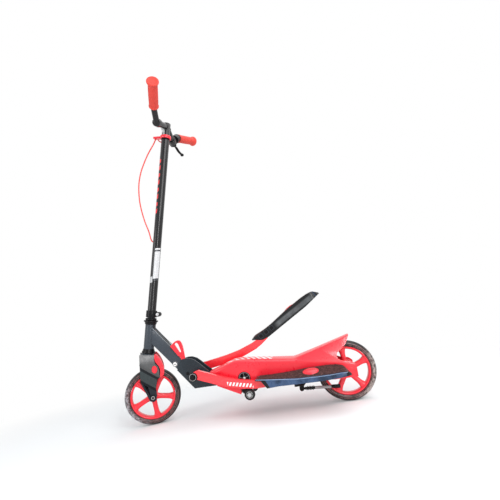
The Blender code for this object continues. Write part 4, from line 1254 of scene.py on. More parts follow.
@dataclass
class Handlebar(Assembly):
    """The welded T with swept ends, its clamp and its two grips."""

    body: str = "handlebar"
    stem_r: float = 0.0158
    bar_r: float = 0.0120
    rod_r: float = 0.0110
    collar_r: float = 0.0155
    stem_bore: float = 0.0131
    stem_low: float = 0.0830
    stem_top: float = 0.8420
    tee: float = 0.8285
    grip_rings: int = 28
    elbow: Vector = fixed(0.1746, 0.0894, 1.0889)
    bend: Vector = field(default_factory=BAR_BEND.copy)
    end: Vector = fixed(0.2282, 0.2458, 1.1482)

    def bends(self, side: Side) -> list[Vector]:
        """The elbow, the bend and the end on that side."""
        return [Vector((point.x, point.y * side.value, point.z)) for point in (self.elbow, self.bend, self.end)]

    def tube(self) -> None:
        """Stem with a domed cap, cross tube, collars and bent hand tubes."""
        long = self.stem_top - self.stem_low
        r = self.stem_r
        inner = self.stem_bore
        profile = [(inner, 0), (r - 0.0006, 0), (r, 0.0006), (r, long - 0.0020), (r - 0.0008, long - 0.0006),
                   (r - 0.0024, long), (0, long), (0, long - 0.050), (inner, long - 0.050)]
        shape = Shape().lathe(profile, on_axis(self.stem_low), STEER_DIR, 72)
        centre = on_axis(self.tee)
        for side in Side:
            elbow, bend, end = self.bends(side)
            across = (elbow - centre).normalized()
            out = (end - bend).normalized()
            shape.rod(centre + across * 0.006, elbow + across * 0.003, self.bar_r, 0.0005, 48)
            bead = [(self.bar_r + grow, height) for grow, height in (
                (-0.001, -0.0022), (0.0016, -0.0012), (0.0022, 0.0002), (0.0010, 0.0016), (-0.001, 0.0024))]
            shape.lathe(bead, centre + across * (self.stem_r + 0.0008), across, 48)
            shape.rod(elbow - across * 0.0180, elbow + across * 0.0060, self.collar_r, 0.0018, 48)
            low, high = self.collar_r - 0.0005, self.collar_r + 0.00035
            groove = [(low, 0.0), (high, 0.0006), (high, 0.0020), (low, 0.0026)]
            shape.lathe(groove, elbow - across * 0.0140, across, 48)
            route = curve_through([elbow, elbow.lerp(bend, 0.55), bend + out * 0.003, bend + out * 0.016,
                                   end - out * 0.008], 9)
            shape.tube(route, self.rod_r, 32)
        self.put(shape, "handlebar_piece", "stem", "handlebar_stem")

    def gussets(self) -> None:
        """The web under each arm of the T, its pale grey a painted highlight."""
        centre = on_axis(self.tee)
        shape = Shape()
        for side in Side:
            across = (self.bends(side)[0] - centre).normalized()
            corners = (centre + across * 0.052 - STEER_DIR * 0.0112, centre + side.out * 0.0140 - STEER_DIR * 0.0112,
                       centre + side.out * 0.0150 - STEER_DIR * 0.0440)
            normal = across.cross(STEER_DIR).normalized()
            shape.loft([[corner + normal * shift for corner in corners] for shift in (-0.0016, 0.0016)])
        self.put(shape.soften(0.0004, 2), "stem_gussets", "gusset")

    def grips(self) -> None:
        """Soft grips, ringed, with a thick inner flange and an end disc."""
        for side in Side:
            _, start, end = self.bends(side)
            out = (end - start).normalized()
            start = start + out * 0.012
            long = (end - start).length
            r = self.rod_r + 0.0003
            outer = [(r, 0.0), (0.0158, 0.0), (0.0172, 0.0004), (0.0180, 0.0014), (0.0181, 0.0030),
                     (0.0176, 0.0048), (0.0168, 0.0066)]
            for step in range(self.grip_rings + 1):
                t = step / self.grip_rings
                belly = 0.0005 * math.sin(math.pi * t)
                outer.append((0.0163 + belly + (0.00025 if step % 2 else 0.0), 0.0080 + (long - 0.0225) * t))
            outer += [(radius, long - back) for radius, back in (
                (0.0172, 0.0118), (0.0186, 0.0096), (0.0200, 0.0078), (0.0208, 0.0060), (0.0210, 0.0040),
                (0.0208, 0.0022), (0.0200, 0.0008), (0.0186, 0.0), (0.0150, 0.0003), (0.0135, 0.0012),
                (0.0060, 0.0014), (0.0, 0.0014))]
            finish = Foam("grip_foam_" + side.word, "grip_rubber", (0.66, 0.062, 0.046), 0.6, shine=0.25, drift=0.05,
                          depth=0.0001, run=out)
            profile = [*outer, (0.0, long - 0.0065), (r, long - 0.0065)]
            shape = Shape().lathe(profile, start, out, 72)
            self.put(shape, f"grip_{side.word}_piece", finish, "grip_" + side.word, sharp=60.0)

    def make(self) -> None:
        """Builds the handlebar."""
        self.tube()
        self.gussets()
        self.grips()
        self.refine("stem_clamp", "black", 0.0006, 3)
        self.refine("clamp_bolt", "steel", 0.0004)


@dataclass
class HandBrake(Assembly):
    """Perch with its round housing, lever, cable with its ferrule, and the clip on the stem."""

    body: str = "handlebar"
    cable_r: float = 0.0024
    clip: float = 0.7840
    pivot: Vector = fixed(0.1680, 0.1220, 1.0920)
    tip: Vector = fixed(0.1835, 0.1850, 1.0665)
    grip: Vector = field(default_factory=lambda: Vector((0.0452, 0.1179, 0.0280)).normalized())
    blade_wide: float = 0.0062
    blade_thin: float = 0.0025

    def blade(self) -> None:
        """The lever's rounded blade with its ball end, and the round housing that it swings from."""
        away = Vector((-0.206, 0.298, -0.932))
        away = (away - self.grip * away.dot(self.grip)).normalized()
        hinge = away.cross(self.grip).normalized()
        reach = self.tip - self.pivot
        path = curve_through([self.pivot, self.pivot + reach * 0.30 - away * 0.001,
                              self.pivot + reach * 0.62 + away * 0.003, self.tip], 10)
        grow = self.blade_wide - self.blade_thin
        shape = Shape().tube(path, lambda t: self.blade_thin + grow * min(1.0, max(0.0, (t - 0.14) / 0.2)), 24, 0.66,
                             hinge)
        shape.rod(self.tip - hinge * 0.0058, self.tip + hinge * 0.0058, 0.0063, 0.0026, 32)
        self.put(shape, "brake_lever_blade", "black", body="hand_brake")
        housing = Shape().rod(BAR_BEND - self.grip * 0.0070, BAR_BEND + self.grip * 0.0105, 0.0168, 0.0030, 48)
        housing.rod(BAR_BEND - self.grip * 0.0010, BAR_BEND + self.grip * 0.0030, 0.0176, 0.0010, 48)
        housing.rod(self.pivot - hinge * 0.0100, self.pivot + hinge * 0.0100, 0.0105, 0.0028, 40)
        self.put(housing, "brake_housing", "black")

    def collar(self) -> None:
        """The red clip's rounded band round the stem."""
        band = mirrored(mm((19, 5.8), (20.4, 5.8), (21.2, 4.6), (21.4, 0)))
        self.put(Shape().lathe(band, on_axis(self.clip), STEER_DIR, 64), "cable_clip_band", "plain")

    def cable(self) -> None:
        """The outer cable along its own route, with a black ferrule at its upper end."""
        inward = Vector((-0.55, -0.82, -0.16)).normalized()
        first = self.pivot + Vector((-0.002, -0.006, 0.001)) + inward * 0.0253
        route = [first, first + inward * 0.015, (0.1340, 0.045, 1.0800), (0.1348, 0.012, 1.0790),
                 (0.1300, 0.002, 1.0660), (0.1205, 0, 1.0490), (0.1062, 0, 1.0310), (0.0880, 0, 1.0050),
                 (0.0620, 0, 0.9580), (0.0470, 0, 0.9170), (0.0400, 0, 0.8780), (0.0380, 0, 0.8330),
                 (0.0410, 0, 0.7950), (0.0490, 0, 0.7480), (0.0600, 0, 0.7060), (0.0665, 0, 0.6700),
                 (0.0780, 0, 0.6602)]
        shape = Shape().tube(curve_through(route, 9), self.cable_r, 20)
        self.put(shape, "brake_cable_piece", "cable", "brake_cable", sharp=60.0)
        ferrule = Shape().rod(first - inward * 0.001, first + inward * 0.009, 0.0034, 0.0005, 32)
        self.put(ferrule, "cable_ferrule", "black")

    def make(self) -> None:
        """Builds the hand brake."""
        self.refine("brake_perch", "black", 0.0008, 3)
        self.refine("brake_lever", "black", 0.0008, 3, body="hand_brake")
        self.blade()
        self.refine("cable_clip", "plain", 0.0008, 3)
        self.collar()
        self.cable()


@dataclass
class RearFrame(Assembly):
    """The slate weldment with the fold block, its pivot bolt, caps and screw, and the rear axle."""

    cap_y: float = 0.0723

    def caps(self) -> None:
        """Each cap's dished black disc and its pale ring."""
        disc = mm((6.3, 0), (15, 0), (15.6, 0.8), (15.6, 2.2), (15, 3.4), (13.8, 4), (10.2, 4), (9.4, 3.2), (6.3, 3))
        ring = mm((10.4, 3.7), (10.6, 4.3), (11.4, 4.6), (12.2, 4.3), (12.4, 3.7))
        for side in Side:
            centre = PIVOT + side.out * self.cap_y
            name = "pivot_cap_" + side.word
            self.put(Shape().lathe(disc, centre, side.out, 72), name + "_piece", "matt", name)
            self.put(Shape().lathe(ring, centre, side.out, 72), "cap_ring_" + side.word, "ring", sharp=60.0)

    def make(self) -> None:
        """Builds the rear frame."""
        self.refine("main_frame", "block", 0.0008, 3)
        self.caps()
        self.refine("pivot_bolt", "black", 0.0005)
        self.refine("pivot_nut", "dark_steel", 0.0005)
        self.refine("plate_screw_left", "black", 0.0004)
        self.refine("rear_axle", "steel", 0.0005)
        self.refine("rear_axle_nut", "steel", 0.0005)


@dataclass
class Pedal(Assembly):
    """One arm with its tilted pedal, ribbed tread and domed oval.

    All sizes are the left pedal's. The right one is the same shape mirrored and raised. A line such as
    `outer_top` holds (x, value) points along the pedal, and its name says where it runs and what it gives.
    """

    side: Side
    pitch: float = 0.0042
    rib: float = 0.0013
    hump: float = 0.0060
    wall: float = 0.0032
    edge_y: float = 0.130
    deck_wide: float = 0.070
    ribs: tuple[float, float] = (0.411, 0.686)
    rib_span: tuple[float, float] = (0.08, 0.92)
    badge_gap: float = 0.0012
    mat_start: float = 0.4070
    mat_long: float = 0.2830
    mat_steps: int = 38
    pockets: Points = ((0.4335, 0.1200), (0.4585, 0.1195), (0.4835, 0.1190))
    pocket_half: float = 0.0068
    inner_face: float = 0.0546
    line_start: float = 0.4014
    line_long: float = 0.2900
    line_steps: int = 58
    screws: tuple[float, ...] = (0.4700, 0.5600)
    screw_y: float = 0.0945
    badge: tuple[float, float] = (0.5785, 0.1010)
    badge_size: tuple[float, float] = (0.0262, 0.0180)
    outer_top: Points = ((0.3985, 0.1335), (0.4014, 0.1341), (0.4469, 0.1291), (0.5323, 0.1201), (0.5997, 0.1182),
                         (0.6356, 0.1187), (0.6715, 0.1205), (0.6937, 0.1198), (0.7040, 0.1130))
    inner_top: Points = ((0.3985, 0.1312), (0.4470, 0.1297), (0.4910, 0.1309), (0.5205, 0.1331), (0.5500, 0.1348),
                         (0.5785, 0.1360), (0.6070, 0.1363), (0.6360, 0.1371), (0.6637, 0.1356), (0.6860, 0.1303),
                         (0.6980, 0.1181), (0.7040, 0.1095))
    outer_low: Points = ((0.3985, 0.1300), (0.4166, 0.1277), (0.4335, 0.1034), (0.4705, 0.1052), (0.5296, 0.1042),
                         (0.5970, 0.1033), (0.6328, 0.1039), (0.6687, 0.1057), (0.6957, 0.1080), (0.7040, 0.1060))
    inner_low: Points = ((0.3985, 0.1300), (0.4050, 0.1235), (0.4290, 0.1050), (0.4560, 0.1000), (0.6328, 0.1010),
                         (0.6687, 0.1045), (0.6957, 0.1070), (0.7040, 0.1060))
    outer_y: Points = ((0.3985, 0.1285), (0.4060, 0.1300), (0.6800, 0.1300), (0.6880, 0.1290), (0.6950, 0.1260),
                       (0.7000, 0.1210), (0.7040, 0.1140))
    inner_y: Points = ((0.3985, 0.0560), (0.4060, 0.0546), (0.4960, 0.0546), (0.5200, 0.0590), (0.6760, 0.0600),
                       (0.6860, 0.0640), (0.6950, 0.0720), (0.7000, 0.0830), (0.7040, 0.0960))

    def __post_init__(self) -> None:
        """Takes the side's own body, and turns the right one's shapes over and up."""
        self.body = self.side.word + "_pedal"
        if self.side is Side.RIGHT:
            self.place = RAISED

    @staticmethod
    def at(line: Points, x: float) -> float:
        """Reads a line between its points.

        Args:
            line: (x, value) points in order of x.
            x: where to read it.

        Returns:
            The value there.
        """
        for (x0, low), (x1, high) in zip(line, line[1:]):
            if x <= x1:
                return low + (high - low) * max(0.0, x - x0) / (x1 - x0)
        return line[-1][1]

    def spot(self, x: float, share: float, lift: float = 0.0) -> Vector:
        """A point of the deck.

        Args:
            x: where along the pedal.
            share: 0 at the outer edge, 1 at the inner one.
            lift: height over the deck.

        Returns:
            The point, in layout metres.
        """
        outer = self.at(self.outer_y, x)
        y = outer + (self.at(self.inner_y, x) - outer) * share
        z = self.at(self.outer_top, x) * (1 - share) + self.at(self.inner_top, x) * share
        swell = math.sin(math.pi * min(1.0, max(0.0, (x - 0.490) / 0.190))) ** 2
        return Vector((x, -y, z + self.hump * swell * math.sin(math.pi * min(1.0, max(0.0, share))) + lift))

    def under(self, x: float, share: float) -> Vector:
        """The shell's underside: hollow in the middle, deep at the ends and clear of the arm.

        Args:
            x: where along the pedal.
            share: 0 at the outer edge, 1 at the inner one.

        Returns:
            The point, in layout metres.
        """
        point = self.spot(x, share, -self.wall)
        if x <= 0.4365 and share > 0.72:
            point.z = min(point.z, 0.1252)
        elif not 0.4365 < x < 0.6550:
            point.z = min(point.z, self.at(self.outer_low, x) + 0.0006)
        return point

    def shell(self) -> None:
        """The moulded pedal: a tilted deck with a skirt down each side."""
        stations = [0.3985, 0.4005, 0.4040, 0.4100, 0.4166, 0.4250, 0.4335, 0.4360, 0.4370, 0.4450, 0.4540, 0.4560]
        stations += [0.4650 + 0.0125 * step for step in range(15)]
        stations += [0.6480, 0.6545, 0.6555, 0.6640, 0.6720, 0.6800, 0.6860, 0.6920, 0.6970, 0.7010, 0.7040]
        rings = []
        for x in stations:
            outer, inner = self.spot(x, 0.0), self.spot(x, 1.0)
            low, back = self.at(self.outer_low, x), self.at(self.inner_low, x)
            thick = 0.0012 if x < 0.4700 else 0.0028
            ring = [Vector((x, outer.y, low)), outer + Vector((0, 0, -0.0016)), outer + Vector((0, 0.0005, -0.0005)),
                    outer + Vector((0, 0.0016, 0))]
            ring += [self.spot(x, step / 10) for step in range(1, 10)]
            ring += [inner + Vector((0, -0.0016, 0)), inner + Vector((0, -0.0005, -0.0005)),
                     inner + Vector((0, 0, -0.0016)), Vector((x, inner.y, back)), Vector((x, inner.y - thick, back))]
            ring += [self.under(x, share) for share in (0.95, 0.80, 0.73, 0.71, 0.45, 0.20, 0.06)]
            ring.append(Vector((x, outer.y + 0.0028, low)))
            rings.append(ring)
        finish = PedalShell("pedal_blue_black_" + self.side.word, "pedal_plastic", (0.036, 0.066, 0.132), 0.28,
                            coat=0.08, shine=0.2, place=self.place)
        name = "pedal_" + self.side.word
        self.put(Shape().loft(rings), name + "_piece", finish, name, sharp=50.0)

    def spans(self, x: float) -> list[tuple[float, float]]:
        """The shares of the deck that a rib at x covers, left open round the oval.

        Args:
            x: where the rib lies.

        Returns:
            A (first, last) pair of shares for each stretch of rib.
        """
        first, last = self.rib_span
        long, wide = (size + self.badge_gap for size in self.badge_size)
        reach = 1 - ((x - self.badge[0]) / long) ** 2
        if reach <= 0:
            return [(first, last)]
        half = wide * math.sqrt(reach)
        middle = self.edge_y - self.badge[1]
        return [(first, (middle - half) / self.deck_wide), ((middle + half) / self.deck_wide, last)]

    def tread(self) -> None:
        """The rubber mat over the deck, with real ribs across it."""
        word = self.side.word
        rings = []
        for step in range(self.mat_steps + 1):
            x = self.mat_start + self.mat_long * step / self.mat_steps
            top = [self.spot(x, 0.07 + 0.86 * part / 12, 0.0014) for part in range(13)]
            rings.append([self.spot(x, 0.065, -0.0008), *top, self.spot(x, 0.935, -0.0008)])
        self.put(Shape().loft(rings), f"tread_{word}_piece", "tread", "tread_" + word)
        shape = Shape()
        section = ((-1.0, 0.0012), (-0.5, 0.0024), (0.5, 0.0024), (1.0, 0.0012))
        start, end = self.ribs
        for index in range(int((end - start) / self.pitch)):
            x = start + self.pitch * index
            for low, high in self.spans(x):
                shares = [low + (high - low) * part / 8 for part in range(9)]
                shape.loft([[self.spot(x, share, lift) + Vector((self.rib * shift, 0, 0)) for shift, lift in section]
                            for share in shares])
        self.put(shape, "tread_ribs_" + word, "tread", sharp=30.0)

    def oval(self) -> None:
        """The domed red oval let into the tread."""
        long, wide = self.badge_size
        rings = []
        for size, lift in ((1.0, -0.001), (1.0, 0.0020), (0.97, 0.0030), (0.86, 0.0046), (0.66, 0.0058),
                           (0.4, 0.0065), (0.14, 0.0068)):
            ring = []
            for step in range(48):
                turn = math.tau * step / 48
                x = self.badge[0] + long * size * math.cos(turn)
                across = self.badge[1] + wide * size * math.sin(turn)
                ring.append(self.spot(x, (self.edge_y - across) / self.deck_wide, lift))
            rings.append(ring)
        name = "tread_badge_" + self.side.word
        self.put(Shape().loft(rings), name + "_piece", "plain", name)

    def trim(self) -> None:
        """The paler line on the outer edge, a painted highlight along the rim, three square pockets on the inner
        side, and screws below.
        """
        word = self.side.word
        # Painted highlight: a pale line along the rim of the outer edge.
        edge = [self.spot(self.line_start + self.line_long * step / self.line_steps, 0.004, -0.0006)
                for step in range(self.line_steps + 1)]
        line = Shape().tube(edge, lambda t: 0.0014 - 0.0006 * t, 12)
        self.put(line, "pedal_edge_" + word, "edge")
        for name, grow, rise, finish in (("frames", 0.0012, 0.0003, "slate"), ("pockets", 0.0, 0.0006, "matt")):
            shape = Shape()
            for x, z in self.pockets:
                half = self.pocket_half + grow
                outline = [(x - half, z - half), (x + half, z - half), (x + half, z + half), (x - half, z + half)]
                shape.prism(outline, -self.inner_face - 0.0004, -self.inner_face + rise)
            self.put(shape, f"pedal_{name}_{word}", finish)
        shape = Shape()
        for x in self.screws:
            top = Vector((x, -self.screw_y, 0.1115 + (x - self.screws[0]) * 0.05))
            shape.rod(top, top - Vector((0, 0, 0.003)), 0.0048, 0.0008, 32)
        self.put(shape, "pedal_screws_" + word, "steel")

    def arm(self) -> None:
        """The painted arm, with its tongue cut to lie under the deck."""
        word = self.side.word
        paint = Marked("arm_red_" + word, "arm_paint", (0.88, 0.024, 0.036), 0.22, coat=0.6, drift=0.04, grain=450.0,
                       depth=0.000004, place=self.place)
        rings = []
        for x in (0.4545, 0.4900, 0.5300, 0.5800, 0.6400):
            shares = (0.03, 0.30, 0.60, 0.97)
            floor = [self.spot(x, share, -self.wall - 0.0004) for share in shares]
            rings.append([*floor, Vector((x, floor[-1].y, 0.2)), Vector((x, floor[0].y, 0.2))])
        shape = Shape.of("pedal_arm_left").soften(0.0030, 5).carve(Shape().loft(rings))
        self.put(shape, f"pedal_arm_{word}_piece", paint, "pedal_arm_" + word)

    def make(self) -> None:
        """Builds the arm and the pedal."""
        self.arm()
        self.shell()
        self.tread()
        self.oval()
        self.trim()


@dataclass
class Body(Assembly):
    """The red cover that runs up into the fender, and the belly cover."""

    wall: float = 0.0030
    corner: float = 0.0035
    dial_r: float = 0.0220
    half: float = 0.0450
    rows: tuple = (
        (0.229, 0.0325, 0.0265, 0.1600, 0.1545),
        (0.246, 0.0375, 0.0300, 0.1645, 0.1590),
        (0.272, 0.0430, 0.0345, 0.1725, 0.1665),
        (0.300, 0.0450, 0.0365, 0.1815, 0.1755),
        (0.322, 0.0450, 0.0365, 0.1870, 0.1810),
        (0.342, 0.0450, 0.0365, 0.1872, 0.1817),
        (0.380, 0.0450, 0.0365, 0.1840, 0.1785),
        (0.455, 0.0450, 0.0360, 0.1747, 0.1692),
        (0.529, 0.0450, 0.0345, 0.1668, 0.1608),
        (0.545, 0.0450, 0.0330, 0.1700, 0.1590),
        (0.620, 0.0450, 0.0290, 0.1892, 0.1480),
        (0.690, 0.0450, 0.0250, 0.2078, 0.1350),
        (0.732, 0.0450, 0.0225, 0.2192, 0.1250),
    )

    def section(self, row: Sequence[float], inset: float, low: float) -> list[Vector]:
        """One ring of the cover, with its top edges rounded.

        Args:
            row: x, half width, half width of the top, height of the top and of its crease.
            inset: how far the ring is drawn in.
            low: the height of its two lower ends.

        Returns:
            The ring's points, from one lower end over the top to the other.
        """
        x, wide, flat, top, crease = row
        wide -= inset
        flat -= 0.7 * inset
        top -= inset
        crease -= 0.6 * inset
        corners = [Vector((wide, low)), Vector((wide, crease)), Vector((flat, top))]
        corners.append(Vector((flat * 0.5, top + 0.0020)))
        half = [corners[0]]
        for index in (1, 2):
            before, here, after = corners[index - 1:index + 2]
            reach = min(self.corner, 0.4 * (here - before).length, 0.4 * (after - here).length)
            start = here + (before - here).normalized() * reach
            stop = here + (after - here).normalized() * reach
            for step in range(6):
                t = step / 5
                half.append(start * (1 - t) ** 2 + here * 2 * t * (1 - t) + stop * t ** 2)
        half.append(corners[-1])
        ring = [Vector((x, -p.x, p.y)) for p in half] + [Vector((x, 0, top + 0.0025))]
        return ring + [Vector((x, p.x, p.y)) for p in reversed(half)]

    def shell(self) -> None:
        """The cover as a thin shell, cut to its outline and open round the wheel and the dial."""
        cover = Shape().loft([self.section(row, 0.0, 0.050) for row in self.rows])
        rings = [self.section(row, self.wall, 0.020) for row in self.rows]
        rings[0] = [point + Vector((-0.01, 0, -0.0026)) for point in rings[0]]
        rings[-1] = [point + Vector((0.01, 0, 0.0022)) for point in rings[-1]]
        cover.carve(Shape().loft(rings))
        trim = mm((222, 260), (222, 160), (236, 154), (250, 121.3), (334.7, 100.3), (336, 93), (600, 90), (655, 84),
                  (700, 83.9))
        trim += arc(WHEELBASE, WHEEL_R, 0.0380, -25, 66, 32)
        rear = mm((692, 140), (684, 143.5), (678, 147.5), (675, 152), (674, 157), (675, 163), (678, 168),
                  (690, 175.5), (701, 183.2), (708.5, 190), (716, 200), (722, 211), (729, 224), (733, 240),
                  (734, 260))
        trim += smoothed(rear, 5)
        cover.carve(Shape().prism(trim, -0.06, 0.06), "INTERSECT")
        cover.carve(Shape().rod(DIAL - ACROSS * 0.06, DIAL + ACROSS * 0.06, self.dial_r, 0.0005, 72))
        cover.soften(0.0007, 3, 50.0)
        self.put(cover, "body_cover_piece", "body", "body_cover", sharp=32.0)

    def lips(self) -> None:
        """The raised line round the hub on each side of the fairing."""
        for side in Side:
            edge = mm((686.0, 112.0), (703.0, 115.8), (717.5, 115.0), (726.2, 107.5), (729.8, 96.5), (730.4, 88.0))
            path = curve_through([(x, side.value * self.half, z) for x, z in edge], 10)
            self.put(Shape().tube(path, 0.0011, 12), "hub_lip_" + side.word, "plain")

    def rims(self) -> None:
        """A black ring of painted shade just inside the dial's hole, so that the wall reads thick."""
        # Painted shade: a black ring inside the hole's wall.
        hole_shade = mm((21.6, 0), (22.1, 0), (22.1, 1.6), (21.2, 1.6))
        for side in Side:
            shape = Shape().lathe(hole_shade, DIAL + side.out * 0.0404, side.out, 72)
            self.put(shape, "dial_liner_" + side.word, "matt")

    def make(self) -> None:
        """Builds the body."""
        self.shell()
        self.lips()
        self.rims()
        self.refine("belly_cover", "plain", 0.0012, 3)


@dataclass
class Drive(Assembly):
    """Dial pulleys, sprockets, chain, rollers and their bracket."""

    roller: Vector = fixed(0.3640, 0.0, 0.0750)
    roller_y: float = 0.0480
    hub_holes: int = 5
    hole_r: float = 0.0082
    dial_spokes: int = 5
    dial_y: float = 0.0420

    def dial(self, side: Side) -> None:
        """A spoked pulley with a pale cap at its centre, and lines of painted highlight on its rim and spokes.

        Args:
            side: its side.
        """
        self.refine("dial_pulley_" + side.word, "matt", 0.0007, 3, body="front_drive")
        centre = DIAL + side.out * self.dial_y
        # Painted highlight: pale lines on the pulley's rim and spokes.
        rim = mm((17.6, -0.4), (17.6, 0.4), (18.2, 0.7), (19, 0.4), (19, -0.4))
        shape = Shape().lathe(rim, centre, side.out, 72)
        lifted = centre + side.out * 0.0001
        for step in range(self.dial_spokes):
            turn = math.tau * (step + 0.3) / self.dial_spokes
            way = Vector((math.cos(turn), 0.0, math.sin(turn)))
            shape.rod(lifted + way * 0.0048, lifted + way * 0.0174, 0.0005, 0.0001, 12)
        self.put(shape, "dial_glint_" + side.word, "ring", body="front_drive")
        dome = mm((0, 1.8), (1.8, 1.7), (3.4, 1.1), (4.3, 0), (4.3, -0.6), (0, -0.6))
        self.put(Shape().lathe(dome, centre, side.out, 40), "dial_cap_" + side.word, "label", body="front_drive")

    def wheel(self, side: Side) -> None:
        """One rubber roller with a silver hub, and five black discs of painted shade on the hub for its round
        openings.

        Args:
            side: its side.
        """
        body = side.word + "_roller"
        out = side.out
        start = self.roller + out * self.roller_y
        tyre = mm((11.6, 0.3), (13.4, -0.2), (15.4, 0.1), (17, 1.2), (17.9, 3), (18.2, 5), (18.2, 10), (17.9, 12),
                  (17, 13.8), (15.4, 14.9), (13.4, 15.2), (11.6, 14.7))
        name = "roller_" + side.word
        self.put(Shape().lathe(tyre, start, out, 72), name + "_piece", "roller", name, body=body)
        hub = mm((4.1, 0.4), (6, 0.3), (6.6, 1.6), (9.8, 1.8), (10.4, 0.4), (11.7, 0.4), (11.7, 14.6), (10.4, 14.6),
                 (9.8, 12.8), (6.6, 13), (6, 14.7), (4.1, 14.6))
        self.put(Shape().lathe(hub, start, out, 72), "roller_hub_" + side.word, "hub", body=body)
        # Painted shade: black discs stand in for the hub's round openings.
        hole_shades = Shape()
        for step in range(self.hub_holes):
            turn = math.tau * step / self.hub_holes
            spot = self.roller + Vector((math.cos(turn), 0.0, math.sin(turn))) * self.hole_r + out * 0.0606
            hole_shades.rod(spot, spot + out * 0.0006, 0.0018, 0.0001, 20)
        self.put(hole_shades, "roller_holes_" + side.word, "matt", body=body)

    def make(self) -> None:
        """Builds the drive and the rollers."""
        for side in Side:
            self.dial(side)
            self.wheel(side)
        self.refine("roller_bracket", "black", 0.0006)
        self.refine("roller_axle", "steel", 0.0005)
        dress("drive_chain", "dark_steel")
        self.refine("drive_shaft", "steel", 0.0003, body="front_drive")
        self.refine("rear_sprocket", "dark_steel", 0.0003, body="rear_drive")


@dataclass
class Kickstand(Assembly):
    """Bracket, leg with its grey middle, and spring."""

    root: Vector = fixed(0.5400, -0.0400, 0.0680)
    along: Vector = field(default_factory=lambda: Vector((0.998, 0.0, -0.060)).normalized())
    leg_r: float = 0.0046

    def sleeve(self) -> None:
        """The leg's grey middle, a hair over its black rod."""
        r = self.leg_r
        profile = [(r - 0.0002, 0.0), (r + 0.0002, 0.0004), (r + 0.0002, 0.0536), (r - 0.0002, 0.0540)]
        shape = Shape().lathe(profile, self.root + self.along * 0.0440, self.along, 40)
        self.put(shape, "kickstand_sleeve", "ring", body="kickstand")

    def make(self) -> None:
        """Builds the kickstand."""
        self.refine("kickstand_bracket", "black", 0.0008, 3)
        self.refine("kickstand_leg", "black", 0.0008, 3, body="kickstand")
        self.sleeve()
        dress("kickstand_spring", "dark_steel")
        frame["nodes"]["kickstand_spring"].data.shade_smooth()


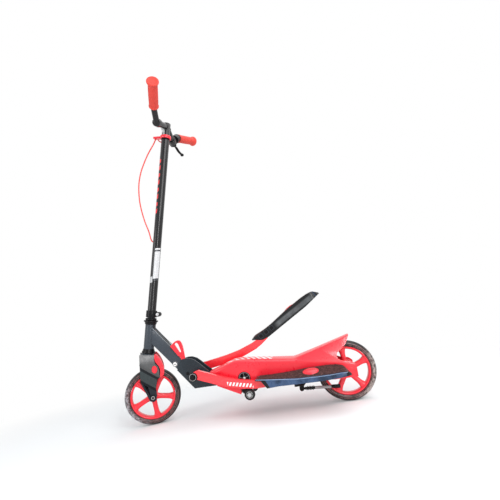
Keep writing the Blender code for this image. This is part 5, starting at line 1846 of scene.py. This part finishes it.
@dataclass
class Studio:
    """Pale floor, white backdrop, soft lights and the camera."""

    place: Vector = fixed(0.2210, -1.3417, 0.3826)
    yaw: float = -0.1011
    pitch: float = 0.1372
    roll: float = -0.1574
    lens: float = 26.51
    sensor: float = 36.0
    near: float = 0.01
    room: float = 0.56
    floor_reach: float = 9.0
    lamps: tuple[tuple[str, Spot, Spot, tuple[float, float], float], ...] = (
        ("key", (1.5, -1.5, 2.2), (0.0, 0.0, 0.30), (1.6, 1.6), 33.0),
        ("top", (0.7, 0.30, 2.5), (0.0, 0.0, 0.2), (1.8, 1.8), 20.0),
        ("left", (-2.0, -1.7, 1.0), (-0.1, 0.0, 0.35), (0.7, 1.8), 19.0),
        ("strip", (0.9, -1.9, 0.8), (0.0, 0.0, 0.5), (0.22, 1.8), 20.0),
    )

    def camera(self) -> None:
        """The camera at the photograph's place and angle."""
        forward = Vector((math.sin(self.yaw) * math.cos(self.pitch), math.cos(self.yaw) * math.cos(self.pitch),
                          math.sin(self.pitch)))
        level = Vector((math.cos(self.yaw), -math.sin(self.yaw), 0.0))
        over = level.cross(forward)
        right = math.cos(self.roll) * level + math.sin(self.roll) * over
        up = -math.sin(self.roll) * level + math.cos(self.roll) * over
        turn = Matrix((right, up, -forward)).transposed().to_4x4()
        data = bpy.data.cameras.new("camera")
        data.lens = self.lens
        data.sensor_width = self.sensor
        data.clip_start = self.near
        camera = linked("camera", data)
        camera.matrix_world = Matrix.Translation(self.place) @ turn
        bpy.context.scene.camera = camera

    def light(self, name: str, place: Spot, target: Spot, size: tuple[float, float], power: float) -> None:
        """A soft area light at a place, aimed at a target.

        Args:
            name: its name.
            place: where it stands.
            target: the point that it faces.
            size: its width and height.
            power: its watts.
        """
        data = bpy.data.lights.new(name, "AREA")
        data.shape = "RECTANGLE"
        data.size, data.size_y = size
        data.energy = power
        aim = (Vector(target) - Vector(place)).to_track_quat("-Z", "Y")
        linked(name, data).matrix_world = Matrix.Translation(place) @ aim.to_matrix().to_4x4()

    def floor(self) -> None:
        """A pale floor that fades into the white backdrop well away from the scooter."""
        part = bmesh.new()
        bmesh.ops.create_grid(part, x_segments=1, y_segments=1, size=self.floor_reach)
        mesh = baked(part, "floor")
        floor = linked("floor", mesh)
        graph = Graph("floor_white")
        away = graph.place().node("VectorMath", 0, inputs={1: (0.75, 1.15, 0.0)}, operation="MULTIPLY")
        away = away.node("VectorMath", 0, "Value", operation="LENGTH")
        matt = graph.node("BsdfDiffuse", {"Color": (0.905, 0.922, 0.92)})
        glow = graph.node("Emission", {"Color": (1.0, 1.0, 1.0), "Strength": 1.0})
        blend = graph.node("MixShader", {0: away.fade(0.55, 1.05), 1: matt, 2: glow})
        graph.tree.nodes.remove(graph.shader)
        graph.feed(graph.tree.nodes["Material Output"].inputs["Surface"], blend)
        mesh.materials.append(graph.material)

    def backdrop(self) -> None:
        """White to the camera and in reflections, and a dimmer room to everything else."""
        world = bpy.data.worlds.new("studio")
        bpy.context.scene.world = world
        graph = Graph.of_world(world)
        seen = graph.node("LightPath", out="Is Camera Ray")
        for kind in ("Is Glossy Ray", "Is Transmission Ray"):
            seen = seen.node("Math", 0, inputs={1: graph.node("LightPath", out=kind)}, operation="MAXIMUM")
        white = graph.node("Background", {"Color": (1.0, 1.0, 1.0), "Strength": 1.0})
        room = graph.node("Background", {"Color": (0.95, 0.96, 1.0), "Strength": self.room})
        graph.node("OutputWorld", {"Surface": graph.node("MixShader", {0: seen, 1: room, 2: white})})

    def make(self) -> None:
        """Sets the whole studio."""
        self.camera()
        self.floor()
        self.backdrop()
        for lamp in self.lamps:
            self.light(*lamp)
        bpy.context.scene.view_settings.view_transform = "Standard"


def main() -> None:
    """Builds the studio and every sub-assembly in order, and reports the pieces of each."""
    front = FORK_TURN @ Matrix.Translation((0, 0, WHEEL_R))
    rear = Matrix.Translation((WHEELBASE, 0, WHEEL_R))
    groups = (
        Studio(),
        # The last two values set each tyre's pale patch, partly dirt and partly painted highlight.
        Wheel("front", -12.5, Vector((-0.92, -0.2, -0.34)), (0.43, 0.41, 0.44), body="front_wheel", place=front),
        Wheel("rear", 22.0, Vector((0.94, 0.0, -0.34)), (0.44, 0.37, 0.34), body="rear_wheel", place=rear),
        Fork(), FrontFrame(), Handlebar(), HandBrake(), RearFrame(), *map(Pedal, Side), Body(), Drive(), Kickstand(),
    )
    for group in groups:
        known = set(bpy.data.objects.keys())
        group.make()
        log.info("%s: %s", type(group).__name__, ", ".join(sorted(set(bpy.data.objects.keys()) - known)))


if __name__ == "__main__":
    main()
